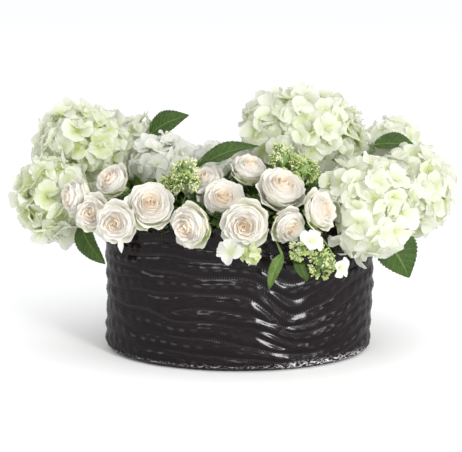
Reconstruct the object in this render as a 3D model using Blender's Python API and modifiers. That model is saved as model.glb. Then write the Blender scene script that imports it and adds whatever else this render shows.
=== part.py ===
"""Floral table centerpiece: hydrangeas, spray roses and green buds in an oval ceramic bowl.

The origin is the middle of the bowl's flat underside. +X runs along the bowl's long side, the
front faces -Y and +Z is up. All sizes are in metres.
"""

import math
import random
from dataclasses import dataclass, field

import bmesh
import bpy
import numpy as np
from mathutils import Vector

# Bowl: an oval drum, turned round and then narrowed from front to back
BOWL_HALF_LENGTH = 0.160
BOWL_NARROWING = 0.75
BOWL_HEIGHT = 0.166
BOWL_WALL = 0.008
BOWL_FLOOR = 0.009
BOWL_CORNER = 0.012
BOWL_SIDES = 32
RIDGES = 9
RIDGE_DEPTH = 0.0015
RIDGE_WAVE = 0.0022

# Foam block that fills the bowl and holds every stem
FOAM_GAP = 0.0006
FOAM_EDGE_HEIGHT = 0.148
FOAM_RISE = 0.010
HOLE_DEPTH = 0.032
HOLE_SPACING = 0.0075
HOLE_SIDES = 6
HOLE_CHOICES = 420
HOLES_TRIED = 20
HOLE_REACH = 0.90
AIM_REACH = 0.72
STEM_FOCUS = Vector((0, 0, -0.06))

# Clearances
BLOOM_GAP = 0.0008
BOWL_GAP = 0.0025
STEM_GAP = 0.0012
LEAF_GAP = 0.0026
FIT_GAP = 0.0003
HEAP_STEPS = 180

# Stems
HEAD_STEM = 0.0019
SPRAY_STEM = 0.0018
TWIG = 0.0011
POCKET_DEPTH = 0.007
COLLAR = 0.0085
STEM_RISE = 0.008
OWN_SHARE = 0.8
BEND_STEPS = 36
BEND_EASE = 0.45
GOOD_COST = 0.003

GOLDEN_ANGLE = math.pi * (3 - math.sqrt(5))

# Hydrangea heads: centre, half sizes along X, Y and Z, petal colour
HEADS = {
    "left_upper": ((-0.189, 0.022, 0.238), (0.060, 0.058, 0.055), "petal_green"),
    "left_lower": ((-0.216, -0.035, 0.188), (0.047, 0.046, 0.050), "petal_green"),
    "back_left": ((-0.093, 0.038, 0.214), (0.050, 0.052, 0.043), "petal_white"),
    "far_left": ((-0.130, 0.126, 0.228), (0.044, 0.042, 0.043), "petal_cream"),
    "right_upper": ((0.075, 0.022, 0.253), (0.080, 0.070, 0.062), "petal_green"),
    "right_front": ((0.145, -0.080, 0.187), (0.058, 0.052, 0.055), "petal_cream"),
    "far_right": ((0.211, 0.012, 0.188), (0.052, 0.050, 0.056), "petal_green"),
    "back_right": ((0.192, 0.100, 0.223), (0.047, 0.045, 0.045), "petal_cream"),
    "back_mid": ((0.015, 0.118, 0.196), (0.047, 0.044, 0.042), "petal_cream"),
    "middle": ((-0.016, 0.030, 0.209), (0.042, 0.042, 0.037), "petal_white"),
}

# Spray roses by spray: centre, half size and the way each faces
ROSE_SPRAYS = {
    "left": (
        ((-0.183, -0.090, 0.195), 0.023, (-0.8, -0.5, 0.1)),
        ((-0.162, -0.110, 0.181), 0.021, (-0.35, -0.9, 0.1)),
        ((-0.143, -0.080, 0.212), 0.021, (-0.5, -0.6, 0.5)),
    ),
    "left_front": (
        ((-0.135, -0.132, 0.174), 0.023, (-0.2, -0.95, 0.0)),
        ((-0.098, -0.120, 0.190), 0.027, (0.05, -0.8, 0.5)),
    ),
    "middle": (
        ((-0.052, -0.142, 0.172), 0.025, (-0.6, -0.75, -0.1)),
        ((-0.019, -0.100, 0.192), 0.027, (0.1, -0.7, 0.6)),
        ((-0.039, -0.062, 0.208), 0.023, (-0.3, -0.5, 0.7)),
    ),
    "front": (
        ((0.007, -0.146, 0.175), 0.026, (-0.2, -0.95, -0.05)),
        ((0.053, -0.137, 0.172), 0.020, (0.4, -0.8, -0.25)),
    ),
    "right": (
        ((0.011, -0.062, 0.223), 0.022, (0.2, -0.4, 0.8)),
        ((0.046, -0.102, 0.206), 0.028, (0.2, -0.6, 0.75)),
        ((0.087, -0.131, 0.187), 0.023, (0.7, -0.6, 0.3)),
    ),
    "back_left": (((-0.072, 0.140, 0.180), 0.025, (-0.2, 0.95, 0.1)),),
    "back_right": (
        ((0.072, 0.143, 0.182), 0.026, (0.1, 0.95, 0.15)),
        ((0.118, 0.128, 0.200), 0.024, (0.3, 0.8, 0.5)),
    ),
}

# Bud sprays: bud clusters (centre, half size), then white lace florets (centre, half size, facing)
BUD_SPRAYS = {
    "left": (
        (((-0.060, -0.088, 0.220), 0.018), ((-0.079, -0.075, 0.206), 0.014)),
        (),
    ),
    "right": (
        (((0.050, -0.062, 0.235), 0.017), ((0.073, -0.075, 0.225), 0.016)),
        (),
    ),
    "front_right": (
        (((0.089, -0.150, 0.133), 0.015), ((0.066, -0.150, 0.147), 0.012)),
        (
            ((0.075, -0.170, 0.160), 0.011, (0.0, -0.95, 0.3)),
            ((0.106, -0.168, 0.132), 0.011, (0.3, -0.9, 0.1)),
        ),
    ),
    "front": (
        (((0.012, -0.150, 0.143), 0.008),),
        (((-0.010, -0.156, 0.145), 0.012, (-0.1, -0.95, 0.2)),),
    ),
    "back": (
        (((-0.118, 0.134, 0.177), 0.015), ((-0.038, 0.152, 0.170), 0.013)),
        (),
    ),
}

# Leaves: foot and tip of the blade, its width, and the way its upper face looks
LEAVES = {
    "back_left": ((-0.111, 0.088, 0.250), (-0.062, 0.086, 0.273), 0.031, (-0.2, -0.8, 0.6)),
    "middle": ((-0.050, -0.040, 0.222), (0.023, -0.042, 0.248), 0.025, (-0.1, -0.6, 0.8)),
    "right_top": ((0.166, 0.046, 0.240), (0.218, 0.042, 0.236), 0.030, (0.1, -0.6, 0.8)),
    "right_low": ((0.165, -0.048, 0.146), (0.197, -0.060, 0.097), 0.052, (0.3, -0.9, 0.3)),
    "left_low": ((-0.182, -0.066, 0.160), (-0.152, -0.088, 0.119), 0.030, (-0.5, -0.8, 0.1)),
    "rear_left": ((-0.035, 0.136, 0.158), (-0.050, 0.160, 0.108), 0.044, (-0.2, 0.9, 0.4)),
    "rear_right": ((0.140, 0.096, 0.168), (0.165, 0.130, 0.122), 0.048, (0.4, 0.8, 0.4)),
}

# Small leaves on the bud sprays, in the same form
SPRAY_LEAVES = {
    "front": ((0.046, -0.144, 0.141), (0.032, -0.146, 0.102), 0.014, (-0.4, -0.9, 0.2)),
    "front_right": ((0.060, -0.147, 0.139), (0.073, -0.150, 0.112), 0.017, (0.4, -0.9, 0.2)),
}

# A rose from its base to its heart: radius, height, petals round the ring, how far they overlap
ROSE_RINGS = (
    (0.60, -0.40, 5, 0.00),
    (0.88, -0.04, 5, 0.03),
    (0.92, 0.22, 5, 0.05),
    (0.70, 0.06, 5, 0.02),
    (0.74, 0.45, 5, 0.06),
    (0.48, 0.20, 3, 0.04),
    (0.44, 0.60, 3, 0.09),
)
ROSE_COLUMNS = 15
ROSE_BASE = (0.17, -0.62)
ROSE_HEART = 0.34
CALYX_DEPTH = 0.2

# Hydrangea heads and bud clusters, on a ball of radius 1
HEAD_FLORETS = 15
HEAD_SPREAD = math.radians(150)
HEAD_CORE = 0.60
HEAD_ROOT_ANGLE = 0.15
HEAD_SEAT_ANGLE = 0.13
FLORET_EYE = 0.83
BUDS_PER_METRE = 700
BUD_SPREAD = math.radians(125)
BUD_CORE = 0.55
BUD_ROOT_ANGLE = 0.14
BUD_SEAT_ANGLE = 0.35
BUD_HALF_WIDTH = 0.0019
BUD_TIP = 0.14

# One petal of a head's floret: angle off the floret's middle, degrees round it, radius on the ball
FLORET_PETAL = ((0.26, 0, 0.88), (0.54, 23, 1.00), (0.54, 67, 0.99))
# One petal of a lace floret: radius, height and degrees round it
LACE_PETAL = ((0.42, 0.06, 0), (0.98, 0.22, 24), (0.98, 0.22, 66))
LACE_THICKNESS = 0.0008

# Leaf blade; arch as a share of its length, fold and teeth as shares of its half width
LEAF_STATIONS = 9
LEAF_THICKNESS = 0.0008
LEAF_ARCH = 0.10
LEAF_FOLD = 0.30
LEAF_TEETH = 0.06
LEAF_STEPS = 12

# Surface of each material: colour, roughness, metallic
SURFACES = {
    "bowl_glaze": ((0.035, 0.030, 0.032), 0.32, 0.25),
    "foam_green": ((0.045, 0.075, 0.025), 0.95, 0.0),
    "petal_green": ((0.72, 0.83, 0.50), 0.75, 0.0),
    "petal_cream": ((0.84, 0.88, 0.66), 0.75, 0.0),
    "petal_white": ((0.90, 0.92, 0.86), 0.75, 0.0),
    "rose_cream": ((0.93, 0.85, 0.74), 0.70, 0.0),
    "lace_white": ((0.93, 0.94, 0.88), 0.75, 0.0),
    "bud_green": ((0.34, 0.48, 0.14), 0.65, 0.0),
    "stem_green": ((0.16, 0.27, 0.07), 0.60, 0.0),
    "leaf_green": ((0.045, 0.15, 0.035), 0.50, 0.0),
}


@dataclass
class Bloom:
    """A ball-shaped flower: its place, and where its stem's tip ends, meets it and first bends."""

    name: str
    centre: Vector
    reach: Vector
    axis: Vector
    material: str
    walls: list = field(default_factory=list)
    seat: Vector = None
    tip: Vector = None
    collar: Vector = None

    def support(self, way):
        """How far the whole ball extends along a direction."""
        return math.hypot(*(way[k] * self.reach[k] for k in range(3)))

    def radius(self, way):
        """The ball's radius at a direction."""
        return 1 / math.hypot(*(way[k] / self.reach[k] for k in range(3)))

    def squeezed(self, point):
        """The point, drawn in towards the centre by as much as the neighbours need."""
        offset = point - self.centre
        if offset.length < 1e-6:
            return point
        way = offset.normalized()
        room = [reach / way.dot(wall) for wall, reach in self.walls if way.dot(wall) > 1e-6]
        return self.centre + offset * min([1, *(r / self.radius(way) for r in room)])

    def place(self, local):
        """A point of the unit ball, whose Z is the flower's axis, as a point of the scene."""
        turned = self.axis.to_track_quat("Z", "Y") @ local
        return self.squeezed(self.centre + Vector(turned[k] * self.reach[k] for k in range(3)))


# ---------------------------------------------------------------- scene and materials


def clear_scene():
    for obj in list(bpy.data.objects):
        bpy.data.objects.remove(obj, do_unlink=True)


def surface(name):
    """The Principled material of this name, made on first use."""
    if name in bpy.data.materials:
        return bpy.data.materials[name]
    colour, roughness, metallic = SURFACES[name]
    material = bpy.data.materials.new(name)
    material.use_nodes = True
    shader = material.node_tree.nodes["Principled BSDF"]
    shader.inputs["Base Color"].default_value = (*colour, 1)
    shader.inputs["Roughness"].default_value = roughness
    shader.inputs["Metallic"].default_value = metallic
    material.diffuse_color = (*colour, 1)
    return material


def add_object(name, mesh, material, collection):
    obj = bpy.data.objects.new(name, mesh)
    mesh.materials.clear()
    mesh.materials.append(surface(material))
    collection.objects.link(obj)
    return obj


def mesh_from(bm, name):
    bmesh.ops.recalc_face_normals(bm, faces=bm.faces)
    mesh = bpy.data.meshes.new(name)
    bm.to_mesh(mesh)
    bm.free()
    return mesh


def evaluated_mesh(obj):
    """The object's mesh as its modifiers or its curve's bevel make it."""
    return bpy.data.meshes.new_from_object(obj.evaluated_get(bpy.context.evaluated_depsgraph_get()))


def welded_mesh(obj):
    """The same, with the points made one where a curve's caps meet its sides."""
    mesh = evaluated_mesh(obj)
    bm = bmesh.new()
    bm.from_mesh(mesh)
    bmesh.ops.remove_doubles(bm, verts=bm.verts, dist=1e-6)
    bm.to_mesh(mesh)
    bm.free()
    return mesh


def drop_scraps(mesh):
    """Keeps the largest connected surface: it drops loose slivers and fills sealed hollows."""
    bm = bmesh.new()
    bm.from_mesh(mesh)
    unseen = set(bm.verts)
    islands = []
    while unseen:
        island = {unseen.pop()}
        front = list(island)
        while front:
            linked = {edge.other_vert(vert) for vert in front for edge in vert.link_edges} - island
            island |= linked
            front = list(linked)
        unseen -= island
        islands.append(island)
    largest = max(islands, key=len)
    bmesh.ops.delete(bm, geom=[vert for vert in bm.verts if vert not in largest], context="VERTS")
    bm.to_mesh(mesh)
    bm.free()


def boolean(obj, others, operation, solver):
    """Joins or cuts the object with a collection of helpers, and removes the helpers."""
    modifier = obj.modifiers.new(operation.lower(), "BOOLEAN")
    modifier.operation = operation
    modifier.operand_type = "COLLECTION"
    modifier.collection = others
    modifier.solver = solver
    bpy.context.view_layer.update()
    mesh = evaluated_mesh(obj)
    drop_scraps(mesh)
    obj.modifiers.clear()
    obj.data = mesh
    for helper in list(others.objects):
        bpy.data.objects.remove(helper, do_unlink=True)
    bpy.data.collections.remove(others)


def helper_collection(name):
    collection = bpy.data.collections.new(name)
    bpy.context.scene.collection.children.link(collection)
    collection.hide_render = True
    return collection


def tube(name, points, radius, sides, material, collection):
    """A round stem along the points, as a mesh with the given number of sides (4, 6 or 8)."""
    curve = bpy.data.curves.new(name, "CURVE")
    curve.dimensions = "3D"
    curve.bevel_depth = radius
    curve.bevel_resolution = sides // 2 - 2
    curve.use_fill_caps = True
    spline = curve.splines.new("POLY")
    spline.points.add(len(points) - 1)
    for control, point in zip(spline.points, points):
        control.co = (*point, 1)
    guide = bpy.data.objects.new(name + "_guide", curve)
    collection.objects.link(guide)
    bpy.context.view_layer.update()
    mesh = welded_mesh(guide)
    bpy.data.objects.remove(guide, do_unlink=True)
    return add_object(name, mesh, material, collection)


# ---------------------------------------------------------------- bowl and foam


def turned(name, profile, sides, material, collection):
    """A solid of revolution about Z from a profile of (radius, height), both ends on the axis."""
    mesh = bpy.data.meshes.new(name)
    mesh.from_pydata([(r, 0, z) for r, z in profile], [(i, i + 1) for i in range(len(profile) - 1)], [])
    obj = add_object(name, mesh, material, collection)
    screw = obj.modifiers.new("turn", "SCREW")
    screw.axis = "Z"
    screw.steps = sides
    screw.render_steps = sides
    screw.use_merge_vertices = True
    screw.merge_threshold = 1e-5
    bpy.context.view_layer.update()
    obj.data = welded_mesh(obj)
    obj.modifiers.clear()
    return obj


def bowl_profile():
    """From the middle of the inner floor up the inside, over the rim, down the ridges and underneath."""
    inner = BOWL_HALF_LENGTH - BOWL_WALL
    corner = BOWL_CORNER
    profile = [(0, BOWL_FLOOR), (inner - corner, BOWL_FLOOR), (inner, BOWL_FLOOR + corner)]
    profile += [(inner, BOWL_HEIGHT - 0.002), (inner + 0.003, BOWL_HEIGHT)]
    rows = 2 * RIDGES
    low, high = corner, BOWL_HEIGHT - 0.004
    for row in range(rows + 1):
        height = high + (low - high) * row / rows
        profile.append((BOWL_HALF_LENGTH - (0 if row % 2 else RIDGE_DEPTH), height))
    profile += [(BOWL_HALF_LENGTH - corner * 0.35, corner * 0.3), (BOWL_HALF_LENGTH - corner, 0), (0, 0)]
    return profile


def ridge_wave(around, height):
    """How far a ridge rises or dips as it runs round the bowl."""
    fade = math.sin(math.pi * min(1, max(0, height / BOWL_HEIGHT)))
    slow = math.sin(5 * around + 22 * height)
    quick = math.sin(8 * around - 45 * height + 1.3)
    return RIDGE_WAVE * fade * (0.8 * slow + 0.7 * quick)


def build_bowl(collection):
    bowl = turned("bowl", bowl_profile(), BOWL_SIDES, "bowl_glaze", collection)
    for vertex in bowl.data.vertices:
        x, y, z = vertex.co
        radius = math.hypot(x, y)
        around = math.atan2(y, x)
        if radius > BOWL_HALF_LENGTH - 2 * RIDGE_DEPTH and BOWL_CORNER < z < BOWL_HEIGHT - 0.005:
            vertex.co.z += ridge_wave(around, z)
            vertex.co.xy *= 1 + 0.004 * math.sin(3 * around + 40 * z)
        vertex.co.y *= BOWL_NARROWING
    return bowl


def outer_share(x, y):
    """How far a point lies from the bowl's axis, as a share of the way to the outer wall."""
    return np.hypot(x, y / BOWL_NARROWING) / BOWL_HALF_LENGTH


def inner_share(x, y):
    """The same, as a share of the way to the inner wall."""
    return np.hypot(x, y / BOWL_NARROWING) / (BOWL_HALF_LENGTH - BOWL_WALL)


def foam_height(x, y):
    return FOAM_EDGE_HEIGHT + FOAM_RISE * (1 - np.minimum(1, inner_share(x, y)) ** 2)


def build_foam(holes, collection):
    """The domed foam block with a straight hole for each stem: (mouth, direction, stem radius)."""
    edge = BOWL_HALF_LENGTH - BOWL_WALL - FOAM_GAP
    floor = BOWL_FLOOR + FIT_GAP
    profile = [(share * edge, FOAM_EDGE_HEIGHT + FOAM_RISE * (1 - share**2)) for share in (0, 0.4, 0.75, 1)]
    profile += [(edge, floor + BOWL_CORNER + 0.002), (edge - BOWL_CORNER - 0.002, floor), (0, floor)]
    foam = turned("foam", profile, BOWL_SIDES, "foam_green", collection)
    for vertex in foam.data.vertices:
        vertex.co.y *= BOWL_NARROWING
    cutters = helper_collection("cutters")
    for number, (mouth, way, radius) in enumerate(holes):
        reach = (radius + FIT_GAP) / math.cos(math.pi / HOLE_SIDES)
        ends = (mouth - way * (HOLE_DEPTH + 0.002), mouth + way * 0.012)
        tube(f"hole_{number}", ends, reach, HOLE_SIDES, "foam_green", cutters)
    boolean(foam, cutters, "DIFFERENCE", "MANIFOLD")
    return foam


# ---------------------------------------------------------------- room between the blooms


def heap_surface():
    """Points all over the filled bowl, which is convex: its rim, its walls and the foam."""
    points = []
    for step in range(HEAP_STEPS):
        around = 2 * math.pi * step / HEAP_STEPS
        x = (BOWL_HALF_LENGTH + 0.001) * math.cos(around)
        y = (BOWL_HALF_LENGTH + 0.001) * BOWL_NARROWING * math.sin(around)
        points += [Vector((x, y, z)) for z in np.linspace(0.06, BOWL_HEIGHT, 14)]
        points += [Vector((x * share, y * share, BOWL_HEIGHT)) for share in np.linspace(0.05, 1, 14)]
    return points


def share_room(blooms):
    """Gives every two blooms that would touch a plane between them, and keeps each off the bowl."""
    heap = heap_surface()
    for index, one in enumerate(blooms):
        for other in blooms[index + 1 :]:
            across = other.centre - one.centre
            way = across.normalized()
            sizes = one.support(way), other.support(way)
            excess = sum(sizes) + BLOOM_GAP - across.length
            if excess > 0:
                one.walls.append((way, sizes[0] - excess * sizes[0] / sum(sizes)))
                other.walls.append((-way, sizes[1] - excess * sizes[1] / sum(sizes)))
        down = min(heap, key=lambda point: (point - one.centre).length) - one.centre
        if one.support(down.normalized()) > down.length - BOWL_GAP:
            one.walls.append((down.normalized(), down.length - BOWL_GAP))


# ---------------------------------------------------------------- flowers


def golden_ways(count, spread):
    """Directions spread evenly about +Z, out to an angle."""
    ways = []
    for number in range(count):
        turn = number * GOLDEN_ANGLE
        up = 1 - (1 - math.cos(spread)) * (number + 0.5) / count
        out = math.sqrt(1 - up * up)
        ways.append(Vector((out * math.cos(turn), out * math.sin(turn), up)))
    return ways


def across_ways(way):
    """Two directions square to this one, right-handed with it."""
    first = way.orthogonal().normalized()
    return first, way.cross(first)


def on_ball(way, angle, turn, radius):
    """The point of a ball that lies at an angle from a direction, turned about it."""
    first, second = across_ways(way)
    side = first * math.cos(turn) + second * math.sin(turn)
    return (way * math.cos(angle) + side * math.sin(angle)) * radius


def within_cell(way, others, angle, turn, radius):
    """The same point, drawn in until it is nearer to its own direction than to any other."""
    for _ in range(30):
        point = on_ball(way, angle, turn, radius)
        if all(point.dot(way - other) > 0.02 * (way - other).length for other in others):
            break
        angle *= 0.95
    return point


def core_with_roots(bm, ways, turns, root_angle, core, seat_angle):
    """A faceted ball with a triangular hole under each direction and a round one at the stem."""
    roots = []
    for way, turn in zip(ways, turns):
        turns_round = [turn + math.pi / 3 + k * 2 * math.pi / 3 for k in range(3)]
        roots.append([bm.verts.new(on_ball(way, root_angle, around, core)) for around in turns_round])
    down = Vector((0, 0, -1))
    seat = [bm.verts.new(on_ball(down, seat_angle, k * math.pi / 3, core)) for k in range(6)]
    bmesh.ops.convex_hull(bm, input=list(bm.verts))
    loops = [set(root) for root in roots] + [set(seat)]
    inside = [face for face in bm.faces if any(set(face.verts) <= loop for loop in loops)]
    bmesh.ops.delete(bm, geom=inside, context="FACES")
    return roots, seat


def sink_pocket(bm, ring, axis, stem_radius):
    """Closes the ring of points with a pocket for the stem; gives its mouth and where the tip ends."""
    middle = sum((vert.co for vert in ring), Vector()) / len(ring)
    reach = (stem_radius + FIT_GAP) / math.cos(math.pi / len(ring))
    sides = []
    for vert in ring:
        side = vert.co - middle
        sides.append((side - axis * side.dot(axis)).normalized() * reach)
    mouth = [bm.verts.new(middle + side) for side in sides]
    end = [bm.verts.new(middle + side + axis * POCKET_DEPTH) for side in sides]
    for outer, inner in ((ring, mouth), (mouth, end)):
        for k in range(len(ring)):
            following = (k + 1) % len(ring)
            bm.faces.new((outer[k], inner[k], inner[following], outer[following]))
    bm.faces.new(end)
    return middle, middle + axis * (POCKET_DEPTH - FIT_GAP)


def settle(bm, bloom, ring, stem_radius):
    """Puts the unit ball's mesh in its place, with the pocket for its stem."""
    for vert in bm.verts:
        vert.co = bloom.place(vert.co)
    bloom.seat, bloom.tip = sink_pocket(bm, ring, bloom.axis, stem_radius)
    bloom.collar = bloom.seat - bloom.axis * COLLAR
    bmesh.ops.triangulate(bm, faces=bm.faces)


def build_head(bloom, seed, collection):
    """A hydrangea head: florets of four petals that stand out of a core, each in its own cell."""
    draw = random.Random(seed)
    ways = golden_ways(HEAD_FLORETS, HEAD_SPREAD)
    turns = [draw.uniform(0, 2 * math.pi) for _ in ways]
    bm = bmesh.new()
    roots, seat = core_with_roots(bm, ways, turns, HEAD_ROOT_ANGLE, HEAD_CORE, HEAD_SEAT_ANGLE)
    for number, (way, turn, root) in enumerate(zip(ways, turns, roots)):
        others = [other for other in ways if other is not way]
        lift = draw.uniform(-0.03, 0)
        rim = []
        for petal in range(4):
            tilts = (0, 0, draw.uniform(-0.05, 0))
            for (angle, offset, radius), tilt in zip(FLORET_PETAL, tilts):
                around = turn + math.radians(90 * petal + offset)
                rim.append(bm.verts.new(within_cell(way, others, angle, around, radius + tilt + lift)))
        middle = bm.verts.new(way * (FLORET_EYE + lift))
        for k in range(12):
            bm.faces.new((middle, rim[k], rim[(k + 1) % 12]))
        for corner in range(3):
            for k in range(4 * corner, 4 * corner + 4):
                bm.faces.new((rim[(k + 1) % 12], rim[k], root[corner]))
            bm.faces.new((rim[(4 * corner + 4) % 12], root[corner], root[(corner + 1) % 3]))
    settle(bm, bloom, seat, HEAD_STEM)
    bloom.collar = bloom.place(Vector((0, 0, -1)))
    return add_object(bloom.name, mesh_from(bm, bloom.name), bloom.material, collection)


def build_rose(bloom, seed, collection):
    """A rose: rings of petals whose lips stand above the hollows between them."""
    draw = random.Random(seed)
    phase = draw.uniform(0, 2 * math.pi)
    bm = bmesh.new()
    out, height = ROSE_BASE
    base = []
    for k in range(5):
        around = phase + 2 * math.pi * (3 * k + 1.5) / ROSE_COLUMNS
        base.append(bm.verts.new((out * math.cos(around), out * math.sin(around), height)))
    rings = []
    for number, (radius, height, petals, overlap) in enumerate(ROSE_RINGS):
        ring = []
        for column in range(ROSE_COLUMNS):
            share = (column * petals / ROSE_COLUMNS + 0.5 * number) % 1
            reach = radius * (1 + overlap * (1 - 2 * share))
            rise = height + overlap * (0.5 - abs(share - 0.4))
            around = phase + 2 * math.pi * column / ROSE_COLUMNS
            ring.append(bm.verts.new((reach * math.cos(around), reach * math.sin(around), rise)))
        rings.append(ring)
    for k in range(5):
        first, second, third, fourth = (rings[0][(3 * k + step) % ROSE_COLUMNS] for step in range(4))
        bm.faces.new((base[k], second, first))
        bm.faces.new((base[k], third, second))
        bm.faces.new((base[k], fourth, third))
        bm.faces.new((base[k], base[(k + 1) % 5], fourth))
    for lower, upper in zip(rings, rings[1:]):
        for k in range(ROSE_COLUMNS):
            following = (k + 1) % ROSE_COLUMNS
            bm.faces.new((lower[k], lower[following], upper[following], upper[k]))
    heart = bm.verts.new((0, 0, ROSE_HEART))
    for k in range(ROSE_COLUMNS):
        bm.faces.new((rings[-1][k], rings[-1][(k + 1) % ROSE_COLUMNS], heart))
    settle(bm, bloom, base, TWIG)
    return add_object(bloom.name, mesh_from(bm, bloom.name), bloom.material, collection)


def build_bud_cluster(bloom, seed, collection):
    """A ball of small pointed buds that stand on short stalks out of a green core."""
    draw = random.Random(seed)
    ways = golden_ways(round(BUDS_PER_METRE * bloom.reach.x), BUD_SPREAD)
    turns = [draw.uniform(0, 2 * math.pi) for _ in ways]
    size = bloom.reach.x
    bm = bmesh.new()
    roots, seat = core_with_roots(bm, ways, turns, BUD_ROOT_ANGLE, BUD_CORE, BUD_SEAT_ANGLE)
    bm.faces.new(reversed(seat))
    for way, turn, root in zip(ways, turns, roots):
        height = draw.uniform(0.86, 1)
        wide = []
        for k in range(3):
            around = turn + math.pi / 3 + k * 2 * math.pi / 3
            wide.append(bm.verts.new(on_ball(way, BUD_HALF_WIDTH / size, around, height - BUD_TIP)))
        point = bm.verts.new(way * height)
        for k in range(3):
            following = (k + 1) % 3
            bm.faces.new((root[k], root[following], wide[following], wide[k]))
            bm.faces.new((wide[k], wide[following], point))
    for vert in bm.verts:
        vert.co = bloom.place(vert.co)
    bmesh.ops.triangulate(bm, faces=bm.faces)
    return add_object(bloom.name, mesh_from(bm, bloom.name), "bud_green", collection)


def build_lace_floret(bloom, collection):
    """A flat white floret of four round petals, thin and slightly cupped."""
    bm = bmesh.new()
    rim = []
    for petal in range(4):
        for radius, height, offset in LACE_PETAL:
            around = math.radians(90 * petal + offset)
            rim.append(bm.verts.new((radius * math.cos(around), radius * math.sin(around), height)))
    middle = bm.verts.new((0, 0, 0))
    for k in range(len(rim)):
        bm.faces.new((middle, rim[k], rim[(k + 1) % len(rim)]))
    turn = bloom.axis.to_track_quat("Z", "Y")
    for vert in bm.verts:
        vert.co = bloom.centre + (turn @ vert.co) * bloom.reach.x
    mesh = bpy.data.meshes.new(bloom.name)
    bm.to_mesh(mesh)
    bm.free()
    floret = add_object(bloom.name, mesh, "lace_white", collection)
    thicken(floret, LACE_THICKNESS)
    bloom.seat = bloom.tip = bloom.centre - bloom.axis * (LACE_THICKNESS + FIT_GAP)
    bloom.collar = bloom.seat - bloom.axis * 0.004
    return floret


def thicken(obj, thickness):
    solidify = obj.modifiers.new("thickness", "SOLIDIFY")
    solidify.thickness = thickness
    solidify.offset = -1
    bpy.context.view_layer.update()
    obj.data = evaluated_mesh(obj)
    obj.modifiers.clear()


# ---------------------------------------------------------------- leaves


def leaf_rows(foot, tip, width, upward, blooms):
    """Left edge, midrib and right edge at each station from foot to tip, bent clear of the blooms."""
    along = tip - foot
    side = along.cross(upward).normalized()
    face = side.cross(along).normalized()
    rows = []
    for station in range(LEAF_STATIONS):
        share = station / (LEAF_STATIONS - 1)
        half = 0.5 * width * math.sin(math.pi * (0.04 + 0.96 * share) ** 0.75) ** 0.8
        half = max(half * (1 + (-LEAF_TEETH if station % 2 else LEAF_TEETH)), LEAF_THICKNESS * 0.75)
        spine = foot + along * share + face * (LEAF_ARCH * along.length * math.sin(math.pi * share))
        lift = face * half * LEAF_FOLD
        rows.append([spine - side * half + lift, spine, spine + side * half + lift])
    for _ in range(LEAF_STEPS):
        for row in rows:
            row[:] = [pushed_clear(point, LEAF_GAP, blooms) for point in row]
    return rows


def pushed_clear(point, margin, blooms):
    """The point, moved straight out of any bloom that it is in or near."""
    for bloom in blooms:
        offset = point - bloom.centre
        room = bloom.radius(offset.normalized()) + margin
        if offset.length < room:
            point = bloom.centre + offset.normalized() * room
    outside = outer_share(point.x, point.y)
    least = 1.02 + margin / (BOWL_HALF_LENGTH * BOWL_NARROWING)
    if point.z < BOWL_HEIGHT + margin and outside < least:
        point = Vector((point.x * least / outside, point.y * least / outside, point.z))
    return point


def build_blade(name, rows, collection):
    """A thin leaf blade whose edges are cut in teeth, split alike on both faces."""
    bm = bmesh.new()
    verts = [[bm.verts.new(point) for point in row] for row in rows]
    for near, far in zip(verts, verts[1:]):
        bm.faces.new((near[0], near[1], far[1]))
        bm.faces.new((near[0], far[1], far[0]))
        bm.faces.new((near[1], near[2], far[1]))
        bm.faces.new((near[2], far[2], far[1]))
    mesh = bpy.data.meshes.new(name)
    bm.to_mesh(mesh)
    bm.free()
    blade = add_object(name, mesh, "leaf_green", collection)
    thicken(blade, LEAF_THICKNESS)
    return blade


# ---------------------------------------------------------------- stems


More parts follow.
